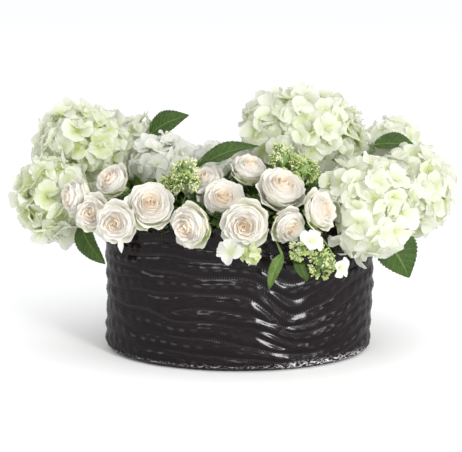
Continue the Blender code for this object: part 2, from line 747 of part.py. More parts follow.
class Router:
    """Finds each stem a hole in the foam and a way to its flower that is clear of everything."""

    def __init__(self, blooms):
        self.centres = np.array([bloom.centre for bloom in blooms])
        self.reaches = np.array([bloom.reach for bloom in blooms])
        self.names = [bloom.name for bloom in blooms]
        self.spots = np.empty((0, 3))
        self.sizes = np.empty(0)
        self.holes = []

    def block(self, points, size):
        """Marks places that later stems keep clear of."""
        self.spots = np.vstack([self.spots, points])
        self.sizes = np.append(self.sizes, np.full(len(points), size))

    def shortfall(self, points, radius, own):
        """For each point, the move that takes it clear, and how far it is from clear."""
        need = radius + STEM_GAP
        reaches = self.reaches * np.where(np.array(self.names) == own, OWN_SHARE, 1)[:, None]
        offset = points[:, None] - self.centres[None]
        share = np.linalg.norm(offset / (reaches + need), axis=2)
        out = np.clip(1 / np.maximum(share, 1e-3) - 1, 0, 3)[..., None] * offset
        worst = np.linalg.norm(out, axis=2).max(axis=1)
        move = out.sum(axis=1)
        if len(self.spots):
            offset = points[:, None] - self.spots[None]
            apart = np.maximum(np.linalg.norm(offset, axis=2), 1e-5)
            short = np.clip(need + self.sizes[None] - apart, 0, None)
            move += (offset / apart[..., None] * short[..., None]).sum(axis=1) * 0.5
            worst = np.maximum(worst, short.max(axis=1))
        lift = self.bowl_lift(points, need)
        return move + lift, np.maximum(worst, np.linalg.norm(lift, axis=1))

    def bowl_lift(self, points, need):
        """What keeps points above the foam and the rim, or outside the wall."""
        x, y, z = points.T
        inside = inner_share(x, y)
        outside = outer_share(x, y)
        least = 1.03 + need / (BOWL_HALF_LENGTH * BOWL_NARROWING)
        near = (outside < least) & (z < BOWL_HEIGHT + need)
        over_foam = near & (inside < 0.95)
        over_rim = near & ~over_foam & ((z > BOWL_HEIGHT - 0.012) | (outside < 1))
        beside = near & ~over_foam & ~over_rim
        lift = np.zeros_like(points)
        lift[over_foam, 2] = np.maximum(0, foam_height(x, y) + need - z)[over_foam]
        lift[over_rim, 2] = (BOWL_HEIGHT + need - z)[over_rim]
        lift[beside, :2] = (points[:, :2] * (least / outside - 1)[:, None])[beside]
        return lift

    def bend(self, start, collar, rise, radius, own, count):
        """A smooth way from the flower to just above its hole: tip, collar, bent points, rise."""
        shares = np.linspace(0, 1, count + 2)[1:-1, None]
        free = np.array(collar) * (1 - shares) + np.array(rise) * shares
        free[:, 2] += 0.004
        for _ in range(BEND_STEPS):
            chain = np.vstack([collar, free, rise])
            free += BEND_EASE * ((chain[:-2] + chain[2:]) / 2 - free)
            chain[1:-1] = free
            middles = (chain[:-1] + chain[1:]) / 2
            move, _ = self.shortfall(np.vstack([free, middles]), radius, own)
            free += move[:count] + 0.5 * (move[count:-1] + move[count + 1 :])
        chain = np.vstack([start, collar, free, rise])
        between = [chain[1:-1] + (chain[2:] - chain[1:-1]) * share for share in (0.33, 0.67, 1)]
        _, worst = self.shortfall(np.vstack(between), radius, own)
        return chain, worst.max()

    def mouths(self, aim):
        """Places for a hole, nearest to the aim first, clear of the other holes."""
        inner = BOWL_HALF_LENGTH - BOWL_WALL
        found = []
        for number in range(HOLE_CHOICES):
            share = HOLE_REACH * math.sqrt((number + 0.5) / HOLE_CHOICES)
            x = inner * share * math.cos(number * GOLDEN_ANGLE)
            y = inner * BOWL_NARROWING * share * math.sin(number * GOLDEN_ANGLE)
            mouth = Vector((x, y, foam_height(x, y)))
            if all((mouth - other).length > HOLE_SPACING for other, _, _ in self.holes):
                found.append(mouth)
        return sorted(found, key=lambda mouth: (mouth - aim).length)[:HOLES_TRIED]

    def lay(self, blooms, radius, count, stem_radius):
        """Ways from one hole to each of the flowers: (mouth, way in, chain of points for each)."""
        aim = sum((bloom.seat for bloom in blooms), Vector()) / len(blooms)
        share = max(1, inner_share(aim.x, aim.y) / AIM_REACH)
        aim = Vector((aim.x / share, aim.y / share, BOWL_HEIGHT))
        best = None
        for mouth in self.mouths(aim):
            way = (mouth - STEM_FOCUS).normalized()
            rise = mouth + way * STEM_RISE
            chains = []
            cost = 0.1 * (mouth - aim).length
            for bloom in blooms:
                chain, worst = self.bend(bloom.tip, bloom.collar, rise, radius, bloom.name, count)
                chains.append(chain)
                cost += max(0, worst - 0.0004) * 10
            if best is None or cost < best[0]:
                best = (cost, mouth, way, chains)
            if cost < GOOD_COST:
                break
        _, mouth, way, chains = best
        self.holes.append((mouth, way, stem_radius))
        for chain in chains:
            full = np.vstack([chain, mouth])
            for near, far in zip(full, full[1:]):
                self.block(near + (far - near) * np.linspace(0, 1, 5)[:, None], radius)
        return mouth, way, [[Vector(point) for point in chain] for chain in chains]


def build_head_stem(bloom, router, collection):
    mouth, way, (chain,) = router.lay([bloom], HEAD_STEM, 3, HEAD_STEM)
    chain.append(mouth - way * HOLE_DEPTH)
    name = bloom.name.replace("head_", "stem_")
    return tube(name, chain, HEAD_STEM, 6, "stem_green", collection)


def add_calyx(rose, parts):
    """The small cup under a rose, which widens to the rose's base."""
    width = ROSE_BASE[0] * rose.reach.x
    depth = CALYX_DEPTH * rose.reach.x
    bpy.ops.mesh.primitive_cone_add(vertices=4, radius1=TWIG * 1.2, radius2=width, depth=depth)
    cup = bpy.context.object
    cup.location = rose.seat - rose.axis * (depth / 2 + FIT_GAP)
    cup.rotation_mode = "QUATERNION"
    cup.rotation_quaternion = rose.axis.to_track_quat("Z", "Y")
    for holder in cup.users_collection:
        holder.objects.unlink(cup)
    parts.objects.link(cup)


def build_spray(name, blooms, parts, router, bends, collection):
    """A stem that forks above the foam, with a twig to each flower, joined with the given parts."""
    mouth, way, chains = router.lay(blooms, TWIG, bends, SPRAY_STEM)
    ends = (mouth + way * (STEM_RISE + 0.002), mouth - way * HOLE_DEPTH)
    main = tube(name, ends, SPRAY_STEM, 6, "stem_green", collection)
    for number, chain in enumerate(chains):
        tube(f"{name}_twig_{number}", chain, TWIG, 4, "stem_green", parts)
    boolean(main, parts, "UNION", "MANIFOLD")
    return main


def leaf_end(name, rows):
    """Where a leaf's stalk runs in along the midrib, as the end of a way to a flower."""
    foot, inner = rows[0][1], rows[2][1]
    axis = (inner - foot).normalized()
    return Bloom(name, foot, Vector((0, 0, 0)), axis, "leaf_green", [], foot, inner, foot - axis * 0.002)


def build_leaf(name, blade, rows, router, collection):
    """A blade on its leaf stalk, which has a hole of its own in the foam."""
    parts = helper_collection(name + "_parts")
    mouth, way, (chain,) = router.lay([leaf_end(name, rows)], TWIG, 3, TWIG)
    chain.append(mouth - way * HOLE_DEPTH)
    tube(name + "_stalk", chain, TWIG, 4, "leaf_green", parts)
    boolean(blade, parts, "UNION", "MANIFOLD")


# ---------------------------------------------------------------- the whole arrangement


def head_blooms():
    found = []
    for name, (centre, reach, material) in HEADS.items():
        centre = Vector(centre)
        foot = Vector((0.5 * centre.x, 0.5 * centre.y, 0.150))
        found.append(Bloom("head_" + name, centre, Vector(reach), (centre - foot).normalized(), material))
    return found


def round_bloom(name, centre, size, facing, material):
    return Bloom(name, Vector(centre), Vector((size, size, size)), Vector(facing).normalized(), material)


def rose_blooms():
    found = {}
    for spray, roses in ROSE_SPRAYS.items():
        found[spray] = []
        for number, rose in enumerate(roses, 1):
            found[spray].append(round_bloom(f"rose_{spray}_{number}", *rose, "rose_cream"))
    return found


def bud_blooms():
    clusters, lace = {}, {}
    for spray, (bunches, florets) in BUD_SPRAYS.items():
        clusters[spray] = []
        for number, (centre, size) in enumerate(bunches, 1):
            x, y, z = centre
            foot = Vector((0.75 * x, 0.65 * y, max(z - 0.02, BOWL_HEIGHT + 0.012)))
            bunch = round_bloom(f"buds_{spray}_{number}", centre, size, Vector(centre) - foot, "bud_green")
            clusters[spray].append(bunch)
        lace[spray] = []
        for number, floret in enumerate(florets, 1):
            lace[spray].append(round_bloom(f"lace_{spray}_{number}", *floret, "lace_white"))
    return clusters, lace


def build_arrangement():
    clear_scene()
    collection = bpy.data.collections.new("floral_centerpiece")
    bpy.context.scene.collection.children.link(collection)

    heads = head_blooms()
    roses = rose_blooms()
    clusters, lace = bud_blooms()
    blooms = heads + [rose for spray in roses.values() for rose in spray]
    blooms += [cluster for spray in clusters.values() for cluster in spray]
    share_room(blooms)
    florets = [floret for spray in lace.values() for floret in spray]

    for seed, head in enumerate(heads, 1):
        build_head(head, seed, collection)
    for seed, rose in enumerate((rose for spray in roses.values() for rose in spray), 101):
        build_rose(rose, seed, collection)
    for floret in florets:
        build_lace_floret(floret, collection)

    router = Router(blooms)
    for floret in florets:
        router.block(np.array([floret.centre + floret.axis * 0.002]), floret.reach.x * 0.8)
    blades = []
    for name, (foot, tip, width, upward) in LEAVES.items():
        rows = leaf_rows(Vector(foot), Vector(tip), width, Vector(upward), blooms + florets)
        blades.append((name, build_blade("leaf_" + name, rows, collection), rows))
        router.block(np.array([point for row in rows[3:] for point in row]), 0.003)
    for head in heads:
        build_head_stem(head, router, collection)
    for name, blade, rows in blades:
        build_leaf("leaf_" + name, blade, rows, router, collection)
    for spray, members in clusters.items():
        parts = helper_collection("bud_parts_" + spray)
        for seed, cluster in enumerate(members, 201):
            build_bud_cluster(cluster, seed, parts)
            cluster.tip = cluster.centre
            cluster.seat = cluster.centre - cluster.axis * cluster.reach.x * BUD_CORE
            cluster.collar = cluster.centre - cluster.axis * cluster.reach.x
        ends = members + lace[spray]
        if spray in SPRAY_LEAVES:
            foot, tip, width, upward = SPRAY_LEAVES[spray]
            rows = leaf_rows(Vector(foot), Vector(tip), width, Vector(upward), blooms + florets)
            build_blade("leaflet_" + spray, rows, parts)
            ends.append(leaf_end("leaflet_" + spray, rows))
        build_spray("buds_" + spray, ends, parts, router, 3, collection)
    for spray, members in roses.items():
        parts = helper_collection("rose_parts_" + spray)
        for rose in members:
            add_calyx(rose, parts)
        build_spray("spray_" + spray, members, parts, router, 2, collection)

    build_bowl(collection)
    build_foam(router.holes, collection)


build_arrangement()
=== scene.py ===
"""A low arrangement of hydrangeas, spray roses and viburnum buds in an oval ridged bowl."""

import math

import bmesh
import bpy
import numpy as np
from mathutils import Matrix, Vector


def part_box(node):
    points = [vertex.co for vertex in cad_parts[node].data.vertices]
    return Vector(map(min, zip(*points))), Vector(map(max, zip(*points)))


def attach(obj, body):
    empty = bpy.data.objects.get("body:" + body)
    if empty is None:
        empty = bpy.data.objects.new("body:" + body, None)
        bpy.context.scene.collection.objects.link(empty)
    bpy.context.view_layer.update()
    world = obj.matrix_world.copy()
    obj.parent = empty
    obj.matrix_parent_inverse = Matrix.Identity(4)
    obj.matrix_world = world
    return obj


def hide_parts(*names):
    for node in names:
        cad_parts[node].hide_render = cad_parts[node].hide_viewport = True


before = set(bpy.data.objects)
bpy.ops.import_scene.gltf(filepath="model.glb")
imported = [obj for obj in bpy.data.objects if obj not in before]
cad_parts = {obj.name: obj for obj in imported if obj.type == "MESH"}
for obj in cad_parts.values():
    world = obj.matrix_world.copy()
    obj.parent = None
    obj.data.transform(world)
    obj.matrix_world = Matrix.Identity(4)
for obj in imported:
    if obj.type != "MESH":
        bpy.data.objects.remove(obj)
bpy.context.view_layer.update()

# ---- sizes and places, in metres

BOWL_HALF_LENGTH = 0.160
BOWL_NARROWING = 0.75
BOWL_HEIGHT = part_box("bowl")[1][2]
BOWL_WALL = 0.008
BOWL_FLOOR = 0.009
BOWL_CORNER = 0.012
BOWL_INSIDE = BOWL_HALF_LENGTH - BOWL_WALL
LIP_RISE = 0.0035
RIDGE_PITCH = 0.0185
RIDGE_DEPTH = 0.0010
WALL_ROWS = 122
WALL_COLUMNS = 424
FOAM_RISE = 0.010
FOAM_EDGE_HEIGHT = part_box("foam")[1][2] - FOAM_RISE
BLOOM_GAP = 0.0008
BOWL_GAP = 0.0025
LEAF_GAP = 0.0036
GOLDEN_ANGLE = math.pi * (3 - math.sqrt(5))
UP = np.array([0, 0, 1.0])

# Each hydrangea head: centre, half sizes, how green it is from 0 to 1 (a higher tone also paints it darker),
# slot.
HEADS = {
    "left_upper": ((-0.189, 0.022, 0.238), (0.060, 0.058, 0.055), 0.56, "petal_green"),
    # The left lower head's tone is raised partly as painted shade, for the shade the left upper head casts on
    # it.
    "left_lower": ((-0.216, -0.035, 0.188), (0.047, 0.046, 0.050), 0.72, "petal_green"),
    "back_left": ((-0.093, 0.038, 0.214), (0.050, 0.052, 0.043), 0.10, "petal_white"),
    "far_left": ((-0.130, 0.126, 0.228), (0.044, 0.042, 0.043), 0.38, "petal_cream"),
    "right_upper": ((0.075, 0.022, 0.253), (0.080, 0.070, 0.062), 0.52, "petal_green"),
    "right_front": ((0.145, -0.080, 0.187), (0.058, 0.052, 0.055), 0.42, "petal_cream"),
    "far_right": ((0.211, 0.012, 0.188), (0.052, 0.050, 0.056), 0.46, "petal_green"),
    "back_right": ((0.192, 0.100, 0.223), (0.047, 0.045, 0.045), 0.34, "petal_cream"),
    "back_mid": ((0.015, 0.118, 0.196), (0.047, 0.044, 0.042), 0.40, "petal_cream"),
    "middle": ((-0.016, 0.030, 0.209), (0.042, 0.042, 0.037), 0.25, "petal_white"),
}

# Each rose: centre, half size, facing.
ROSE_SPRAYS = {
    "left": (
        ((-0.183, -0.090, 0.195), 0.023, (-0.8, -0.5, 0.1)),
        ((-0.162, -0.110, 0.181), 0.021, (-0.35, -0.9, 0.1)),
        ((-0.143, -0.080, 0.212), 0.021, (-0.5, -0.6, 0.5)),
    ),
    "left_front": (
        ((-0.135, -0.132, 0.174), 0.023, (-0.2, -0.95, 0.0)),
        ((-0.098, -0.120, 0.190), 0.027, (0.05, -0.8, 0.5)),
    ),
    "middle": (
        ((-0.052, -0.142, 0.172), 0.025, (-0.6, -0.75, -0.1)),
        ((-0.019, -0.100, 0.192), 0.027, (0.1, -0.7, 0.6)),
        ((-0.039, -0.062, 0.208), 0.023, (-0.3, -0.5, 0.7)),
    ),
    "front": (
        ((0.007, -0.146, 0.175), 0.026, (-0.2, -0.95, -0.05)),
        ((0.053, -0.137, 0.172), 0.020, (0.4, -0.8, -0.25)),
    ),
    "right": (
        ((0.011, -0.062, 0.223), 0.022, (0.2, -0.4, 0.8)),
        ((0.046, -0.102, 0.206), 0.028, (0.2, -0.6, 0.75)),
        ((0.087, -0.131, 0.187), 0.023, (0.7, -0.6, 0.3)),
    ),
    "back_left": (((-0.072, 0.140, 0.180), 0.025, (-0.2, 0.95, 0.1)),),
    "back_right": (
        ((0.072, 0.143, 0.182), 0.026, (0.1, 0.95, 0.15)),
        ((0.118, 0.128, 0.200), 0.024, (0.3, 0.8, 0.5)),
    ),
}

# Each bud spray: clusters as centre and half size, lace florets as centre, half size, facing.
BUD_SPRAYS = {
    "left": ((((-0.060, -0.088, 0.220), 0.018), ((-0.079, -0.075, 0.206), 0.014)), ()),
    "right": ((((0.050, -0.062, 0.235), 0.017), ((0.073, -0.075, 0.225), 0.016)), ()),
    "front_right": (
        (((0.089, -0.150, 0.133), 0.015), ((0.066, -0.150, 0.147), 0.012)),
        (
            ((0.075, -0.170, 0.160), 0.011, (0.0, -0.95, 0.3)),
            ((0.106, -0.168, 0.132), 0.011, (0.3, -0.9, 0.1)),
        ),
    ),
    "front": (
        (((0.012, -0.150, 0.143), 0.008),),
        (((-0.010, -0.156, 0.145), 0.012, (-0.1, -0.95, 0.2)),),
    ),
    "back": ((((-0.118, 0.134, 0.177), 0.015), ((-0.038, 0.152, 0.170), 0.013)), ()),
}

# Each leaf: foot, tip, width, which way its upper face looks.
LEAVES = {
    "back_left": ((-0.111, 0.088, 0.250), (-0.062, 0.086, 0.273), 0.031, (-0.2, -0.8, 0.6)),
    "middle": ((-0.050, -0.040, 0.222), (0.023, -0.042, 0.248), 0.025, (-0.1, -0.6, 0.8)),
    "right_top": ((0.166, 0.046, 0.240), (0.218, 0.042, 0.236), 0.030, (0.1, -0.6, 0.8)),
    "right_low": ((0.165, -0.048, 0.146), (0.197, -0.060, 0.097), 0.052, (0.3, -0.9, 0.3)),
    "left_low": ((-0.182, -0.066, 0.160), (-0.152, -0.088, 0.119), 0.030, (-0.5, -0.8, 0.1)),
    "rear_left": ((-0.035, 0.136, 0.158), (-0.050, 0.160, 0.108), 0.044, (-0.2, 0.9, 0.4)),
    "rear_right": ((0.140, 0.096, 0.168), (0.165, 0.130, 0.122), 0.048, (0.4, 0.8, 0.4)),
}
SPRAY_LEAVES = {
    "front": ((0.046, -0.144, 0.141), (0.032, -0.146, 0.102), 0.014, (-0.4, -0.9, 0.2)),
    "front_right": ((0.060, -0.147, 0.139), (0.073, -0.150, 0.112), 0.017, (0.4, -0.9, 0.2)),
}

# How each lace floret nods out of its own facing.
LACE_LEAN = {
    ("front", 1): (-0.30, 0.0, 0.45),
    ("front_right", 1): (0.25, 0.0, 0.60),
    ("front_right", 2): (0.75, 0.0, -0.20),
}

FLORET_SIZE = 0.0175
FLORET_AREA = 0.00050
HEAD_SPREAD = math.radians(155)
# Heads with a few florets that hang loose: which way, and how far past the head.
DROOPING_HEADS = {
    "right_front": ((-0.10, -0.75, -0.70), 0.002),
    "left_lower": ((0.30, -0.60, -0.80), -0.006),
}
ROSE_PETALS = 34
ROSE_FULLNESS = 1.07
# The share of a rose's petals, from the heart out, past which they turn green at the foot.
GREEN_FROM = 0.62
# A loose petal below the left front roses: foot, which way it hangs, which way it faces, length.
HANGING_PETAL = ((-0.130, -0.137, 0.157), (0.05, -0.15, -1.0), (0.0, -1.0, 0.0), 0.016)
TUFTS_PER_METRE = 950
BUDS_PER_TUFT = 24
LEAF_VEINS = 9
VEIN_SLANT = 1.9

# ---- vectors


def unit(vectors):
    return vectors / np.maximum(np.linalg.norm(vectors, axis=-1, keepdims=True), 1e-12)


def smooth(values, low, high):
    share = np.clip((np.asarray(values, float) - low) / (high - low), 0, 1)
    return share * share * (3 - 2 * share)


def tangents(ways):
    """Two directions square to each direction and to each other."""
    steep = np.abs(ways[..., 2:3]) > 0.9
    guide = np.where(steep, np.array([1.0, 0.0, 0.0]), np.array([0.0, 0.0, 1.0]))
    side = unit(np.cross(guide, ways))
    return side, np.cross(ways, side)


def spoke(turn, side, other):
    """The direction at each angle from one direction towards another."""
    return np.cos(turn)[..., None] * side + np.sin(turn)[..., None] * other


def golden_ways(count, spread, axis):
    """Directions spread evenly about an axis, out to an angle."""
    number = np.arange(count)
    up = 1 - (1 - math.cos(spread)) * (number + 0.5) / count
    out = np.sqrt(1 - up * up)
    return up[:, None] * axis + out[:, None] * spoke(number * GOLDEN_ANGLE, *tangents(axis))


def ball_ways(rows, columns):
    """Directions all round a ball, in rows from pole to pole."""
    down = np.linspace(0.02, math.pi - 0.02, rows)[:, None]
    turn = np.linspace(0, math.tau, columns)
    parts = np.sin(down) * np.cos(turn), np.sin(down) * np.sin(turn), np.cos(down)
    return np.stack(np.broadcast_arrays(*parts), -1)


def sheet_grid(rows, columns):
    """How far along a sheet, from 0 to 1, and how far across it, from -1 to 1, its points lie."""
    return np.linspace(0, 1, rows)[:, None], np.linspace(-1, 1, columns)[None, :]


def oval(turn, radius):
    """Places on the bowl's oval, or on a smaller or larger one."""
    return np.stack([radius * np.cos(turn), radius * np.sin(turn) * BOWL_NARROWING], -1)


class Bloom:
    """A ball-shaped flower, drawn in where its neighbours need room."""

    def __init__(self, centre, reach, axis):
        self.centre = np.array(centre, float)
        self.reach = np.ones(3) * reach
        self.axis = unit(np.array(axis, float))
        self.walls = []

    def support(self, way):
        """How far the whole ball reaches in a direction."""
        return np.linalg.norm(way * self.reach)

    def radius(self, ways):
        """The distance from the centre to the whole ball's surface, each way."""
        return 1 / np.linalg.norm(ways / self.reach, axis=-1)

    def area(self):
        """The whole ball's surface, by Thomsen's formula."""
        power = 1.6075
        a, b, c = self.reach**power
        return 4 * math.pi * ((a * b + a * c + b * c) / 3) ** (1 / power)

    def squeezed(self, points):
        """The points, drawn in towards the centre as far as the walls ask."""
        offset = points - self.centre
        ways = unit(offset)
        share = np.ones(offset.shape[:-1])
        for wall, reach in self.walls:
            toward = ways @ wall
            room = reach / np.maximum(toward, 1e-6) / self.radius(ways)
            share = np.minimum(share, np.where(toward > 1e-6, room, 1))
        return self.centre + offset * share[..., None]

    def inside(self, points, scale):
        """Whether each point lies in the drawn-in ball, scaled about its centre."""
        offset = points - self.centre
        hit = np.linalg.norm(offset / self.reach, axis=-1) < scale
        for wall, reach in self.walls:
            hit &= offset @ wall < reach * scale
        return hit


def heap_surface():
    """Points all over the filled bowl: its walls from the rim down, and the plane of its rim."""
    rows, columns = 14, 180
    rim = oval(np.linspace(0, math.tau, columns, endpoint=False), BOWL_HALF_LENGTH + 0.001)
    walls = [(1, height) for height in np.linspace(0.06, BOWL_HEIGHT, rows)]
    plane = [(share, BOWL_HEIGHT) for share in np.linspace(0.05, 1, rows)]
    rings = [np.column_stack([rim * share, np.full(columns, height)]) for share, height in walls + plane]
    return np.concatenate(rings)


def share_room(blooms):
    """Gives every two blooms that would touch a plane between them, and keeps each off the bowl."""
    heap = heap_surface()
    for index, one in enumerate(blooms):
        for other in blooms[index + 1 :]:
            across = other.centre - one.centre
            way = unit(across)
            sizes = one.support(way), other.support(way)
            excess = sum(sizes) + BLOOM_GAP - np.linalg.norm(across)
            if excess > 0:
                one.walls.append((way, sizes[0] - excess * sizes[0] / sum(sizes)))
                other.walls.append((-way, sizes[1] - excess * sizes[1] / sum(sizes)))
        down = heap - one.centre
        down = down[np.argmin(np.linalg.norm(down, axis=1))]
        room = np.linalg.norm(down)
        if one.support(unit(down)) > room - BOWL_GAP:
            one.walls.append((unit(down), room - BOWL_GAP))


def outer_share(points):
    """How far each point lies from the bowl's axis, as a share of the way to its outer wall."""
    return np.hypot(points[..., 0], points[..., 1] / BOWL_NARROWING) / BOWL_HALF_LENGTH


def pushed_clear(points, margin, blooms):
    """The points, moved straight out of any bloom or wall that they are in or near."""
    for bloom in blooms:
        offset = points - bloom.centre
        distance = np.linalg.norm(offset, axis=-1)
        room = bloom.radius(unit(offset)) + margin
        scale = np.where(distance < room, room / np.maximum(distance, 1e-9), 1)
        points = bloom.centre + offset * scale[..., None]
    outside = outer_share(points)
    least = 1.02 + margin / (BOWL_HALF_LENGTH * BOWL_NARROWING)
    near = (points[..., 2] < BOWL_HEIGHT + margin) & (outside < least)
    scale = np.where(near, least / np.maximum(outside, 1e-9), 1)
    return points * np.stack([scale, scale, np.ones_like(scale)], -1)


# ---- meshes


class Skin:
    """Gathers the faces of one piece. Each point carries along, across, chance and tone."""

    TRAITS = ("along", "across", "chance", "tone")

    def __init__(self):
        self.points, self.faces, self.kinds, self.traits = [], [], [], []
        self.size = 0

    def sheets(self, points, along, across, chance, tone, kind=0):
        """Adds grids of faces: points is sheets x rows x columns x 3, and each trait fits all but the 3."""
        shape = points.shape[:3]
        index = np.arange(shape[0] * shape[1] * shape[2]).reshape(shape) + self.size
        near, far = index[:, :-1], index[:, 1:]
        corners = [near[:, :, :-1], near[:, :, 1:], far[:, :, 1:], far[:, :, :-1]]
        quads = np.stack(corners, -1).reshape(-1, 4)
        self.points.append(points.reshape(-1, 3))
        self.faces.append(quads)
        self.kinds.append(np.full(len(quads), kind))
        traits = [np.broadcast_to(trait, shape).reshape(-1) for trait in (along, across, chance, tone)]
        self.traits.append(np.stack(traits, -1))
        self.size += index.size

    def piece(self, name, materials, slot, nodes=()):
        """Makes the gathered faces a piece that stands for its CAD nodes."""
        points = np.concatenate(self.points)
        quads = np.concatenate(self.faces)
        traits = np.concatenate(self.traits)
        mesh = bpy.data.meshes.new(name)
        mesh.vertices.add(len(points))
        mesh.vertices.foreach_set("co", points.ravel())
        mesh.loops.add(quads.size)
        mesh.loops.foreach_set("vertex_index", quads.ravel())
        mesh.polygons.add(len(quads))
        mesh.polygons.foreach_set("loop_start", np.arange(len(quads)) * 4)
        for material in materials:
            mesh.materials.append(material)
        mesh.polygons.foreach_set("material_index", np.concatenate(self.kinds))
        for column, trait in enumerate(self.TRAITS):
            mesh.attributes.new(trait, "FLOAT", "POINT").data.foreach_set("value", traits[:, column])
        mesh.update(calc_edges=True)
        mesh.shade_smooth()
        add_piece(name, mesh, nodes)


def add_object(name, data):
    """Adds an object to the scene."""
    thing = bpy.data.objects.new(name, data)
    bpy.context.scene.collection.objects.link(thing)
    return thing


def add_piece(name, mesh, nodes):
    """Adds a piece, which moves with the only body and stands for its CAD nodes."""
    piece = add_object(name, mesh)
    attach(piece, "root")
    if nodes:
        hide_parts(*nodes)
    return piece


def on_blade(point, foot, tip, start, reach):
    """Whether a point of a leaf is past a share of its length and within reach of its midrib."""
    along = np.subtract(tip, foot)
    share = (point - foot) @ along / (along @ along)
    return share > start and np.linalg.norm(point - foot - share * along) < reach


def rounded_copy(name, nodes, material, blade=None):
    """A rounder copy of slender CAD nodes, without a leaf's blade where one is told."""
    bm = bmesh.new()
    for node in nodes:
        bm.from_mesh(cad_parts[node].data)
    bmesh.ops.remove_doubles(bm, verts=bm.verts, dist=1e-6)
    if blade:
        faces = [face for face in bm.faces if on_blade(np.array(face.calc_center_median()), *blade)]
        bmesh.ops.delete(bm, geom=faces, context="FACES")
    mesh = bpy.data.meshes.new(name)
    bm.to_mesh(mesh)
    bm.free()
    mesh.materials.clear()
    mesh.materials.append(material)
    for polygon in mesh.polygons:
        polygon.material_index = 0
    mesh.shade_smooth()
    rounding = add_piece(name, mesh, nodes).modifiers.new("rounding", "SUBSURF")
    rounding.levels = rounding.render_levels = 1


def tubes(skin, starts, ends, radius, sides, tone, kind, chance):
    """Adds straight thin stalks."""
    side, other = tangents(unit(ends - starts))
    ring = spoke(np.linspace(0, math.tau, sides + 1), side[:, None], other[:, None])
    points = np.stack([starts[:, None] + ring * radius, ends[:, None] + ring * radius * 0.8], 1)
    along = np.array([0, 1])[None, :, None]
    skin.sheets(points, along, 0.0, chance[:, None, None], tone, kind)


def beads(skin, centres, ways, length, width, chance, tone, kind, rings=4, sides=6):
    """Adds small pointed beads, each along its own direction."""
    side, other = tangents(ways)
    share = np.linspace(0, 1, rings)
    swell = np.sin(math.pi * (0.06 + 0.88 * share)) ** 0.75 * (1 - 0.22 * share)
    ring = spoke(np.linspace(0, math.tau, sides + 1), side[:, None, None], other[:, None, None])
    size = np.broadcast_to(width, len(centres))[:, None, None, None]
    points = centres[:, None, None] + ring * swell[None, :, None, None] * size
    reach = np.broadcast_to(length, len(centres))[:, None, None, None]
    points = points + ways[:, None, None] * (share - 0.5)[None, :, None, None] * reach
    skin.sheets(points, share[None, :, None], 0.0, np.reshape(chance, (-1, 1, 1)), tone, kind)


# ---- materials


class Nodes:
    """The nodes of a shader. Each call adds one, whose inputs are values or outputs of others."""

    def __init__(self, tree):
        self.tree = tree

    def add(self, kind, inputs=None, **settings):
        node = self.tree.nodes.new(kind)
        for key, value in settings.items():
            setattr(node, key, value)
        for key, value in (inputs or {}).items():
            if isinstance(value, bpy.types.NodeSocket):
                self.tree.links.new(value, node.inputs[key])
            else:
                node.inputs[key].default_value = value
        return node

    def maths(self, operation, first, second=0.0):
        return self.add("ShaderNodeMath", {0: first, 1: second}, operation=operation).outputs[0]

    def plus(self, first, second):
        return self.maths("ADD", first, second)

    def minus(self, first, second):
        return self.maths("SUBTRACT", first, second)

    def times(self, first, second):
        return self.maths("MULTIPLY", first, second)

    def off_middle(self, value):
        """How far a value is from half-way between two whole numbers."""
        return self.maths("ABSOLUTE", self.minus(self.maths("FRACT", value), 0.5))

    def ranged(self, value, low, high, start=0.0, end=1.0, kind="SMOOTHSTEP"):
        """Start where a value is low, end where it is high, and eased between them."""
        inputs = {"Value": value, "From Min": low, "From Max": high, "To Min": start, "To Max": end}
        return self.add("ShaderNodeMapRange", inputs, interpolation_type=kind).outputs["Result"]

    def mixed(self, share, first, second):
        """The first colour, with a share of the second."""
        inputs = {0: share}
        for index, colour in ((6, first), (7, second)):
            inputs[index] = (*colour, 1) if isinstance(colour, tuple) else colour
        return self.add("ShaderNodeMix", inputs, data_type="RGBA").outputs[2]

    def noise(self, place, scale, detail, roughness=0.55):
        inputs = {"Vector": place, "Scale": scale, "Detail": detail, "Roughness": roughness}
        return self.add("ShaderNodeTexNoise", inputs).outputs["Fac"]

    def stretched(self, traits, factors, scale, detail, roughness=0.55):
        """Noise over three traits, each times its own factor."""
        spot = self.add("ShaderNodeCombineXYZ", dict(enumerate(traits))).outputs[0]
        place = self.add("ShaderNodeVectorMath", {0: spot, 1: factors}, operation="MULTIPLY").outputs[0]
        return self.noise(place, scale, detail, roughness)

    def tinted(self, colour, tint, value, low, high, most=1.0):
        """The colour, with more and more of a tint as a value goes from low to high."""
        return self.mixed(self.ranged(value, low, high, 0.0, most), colour, tint)


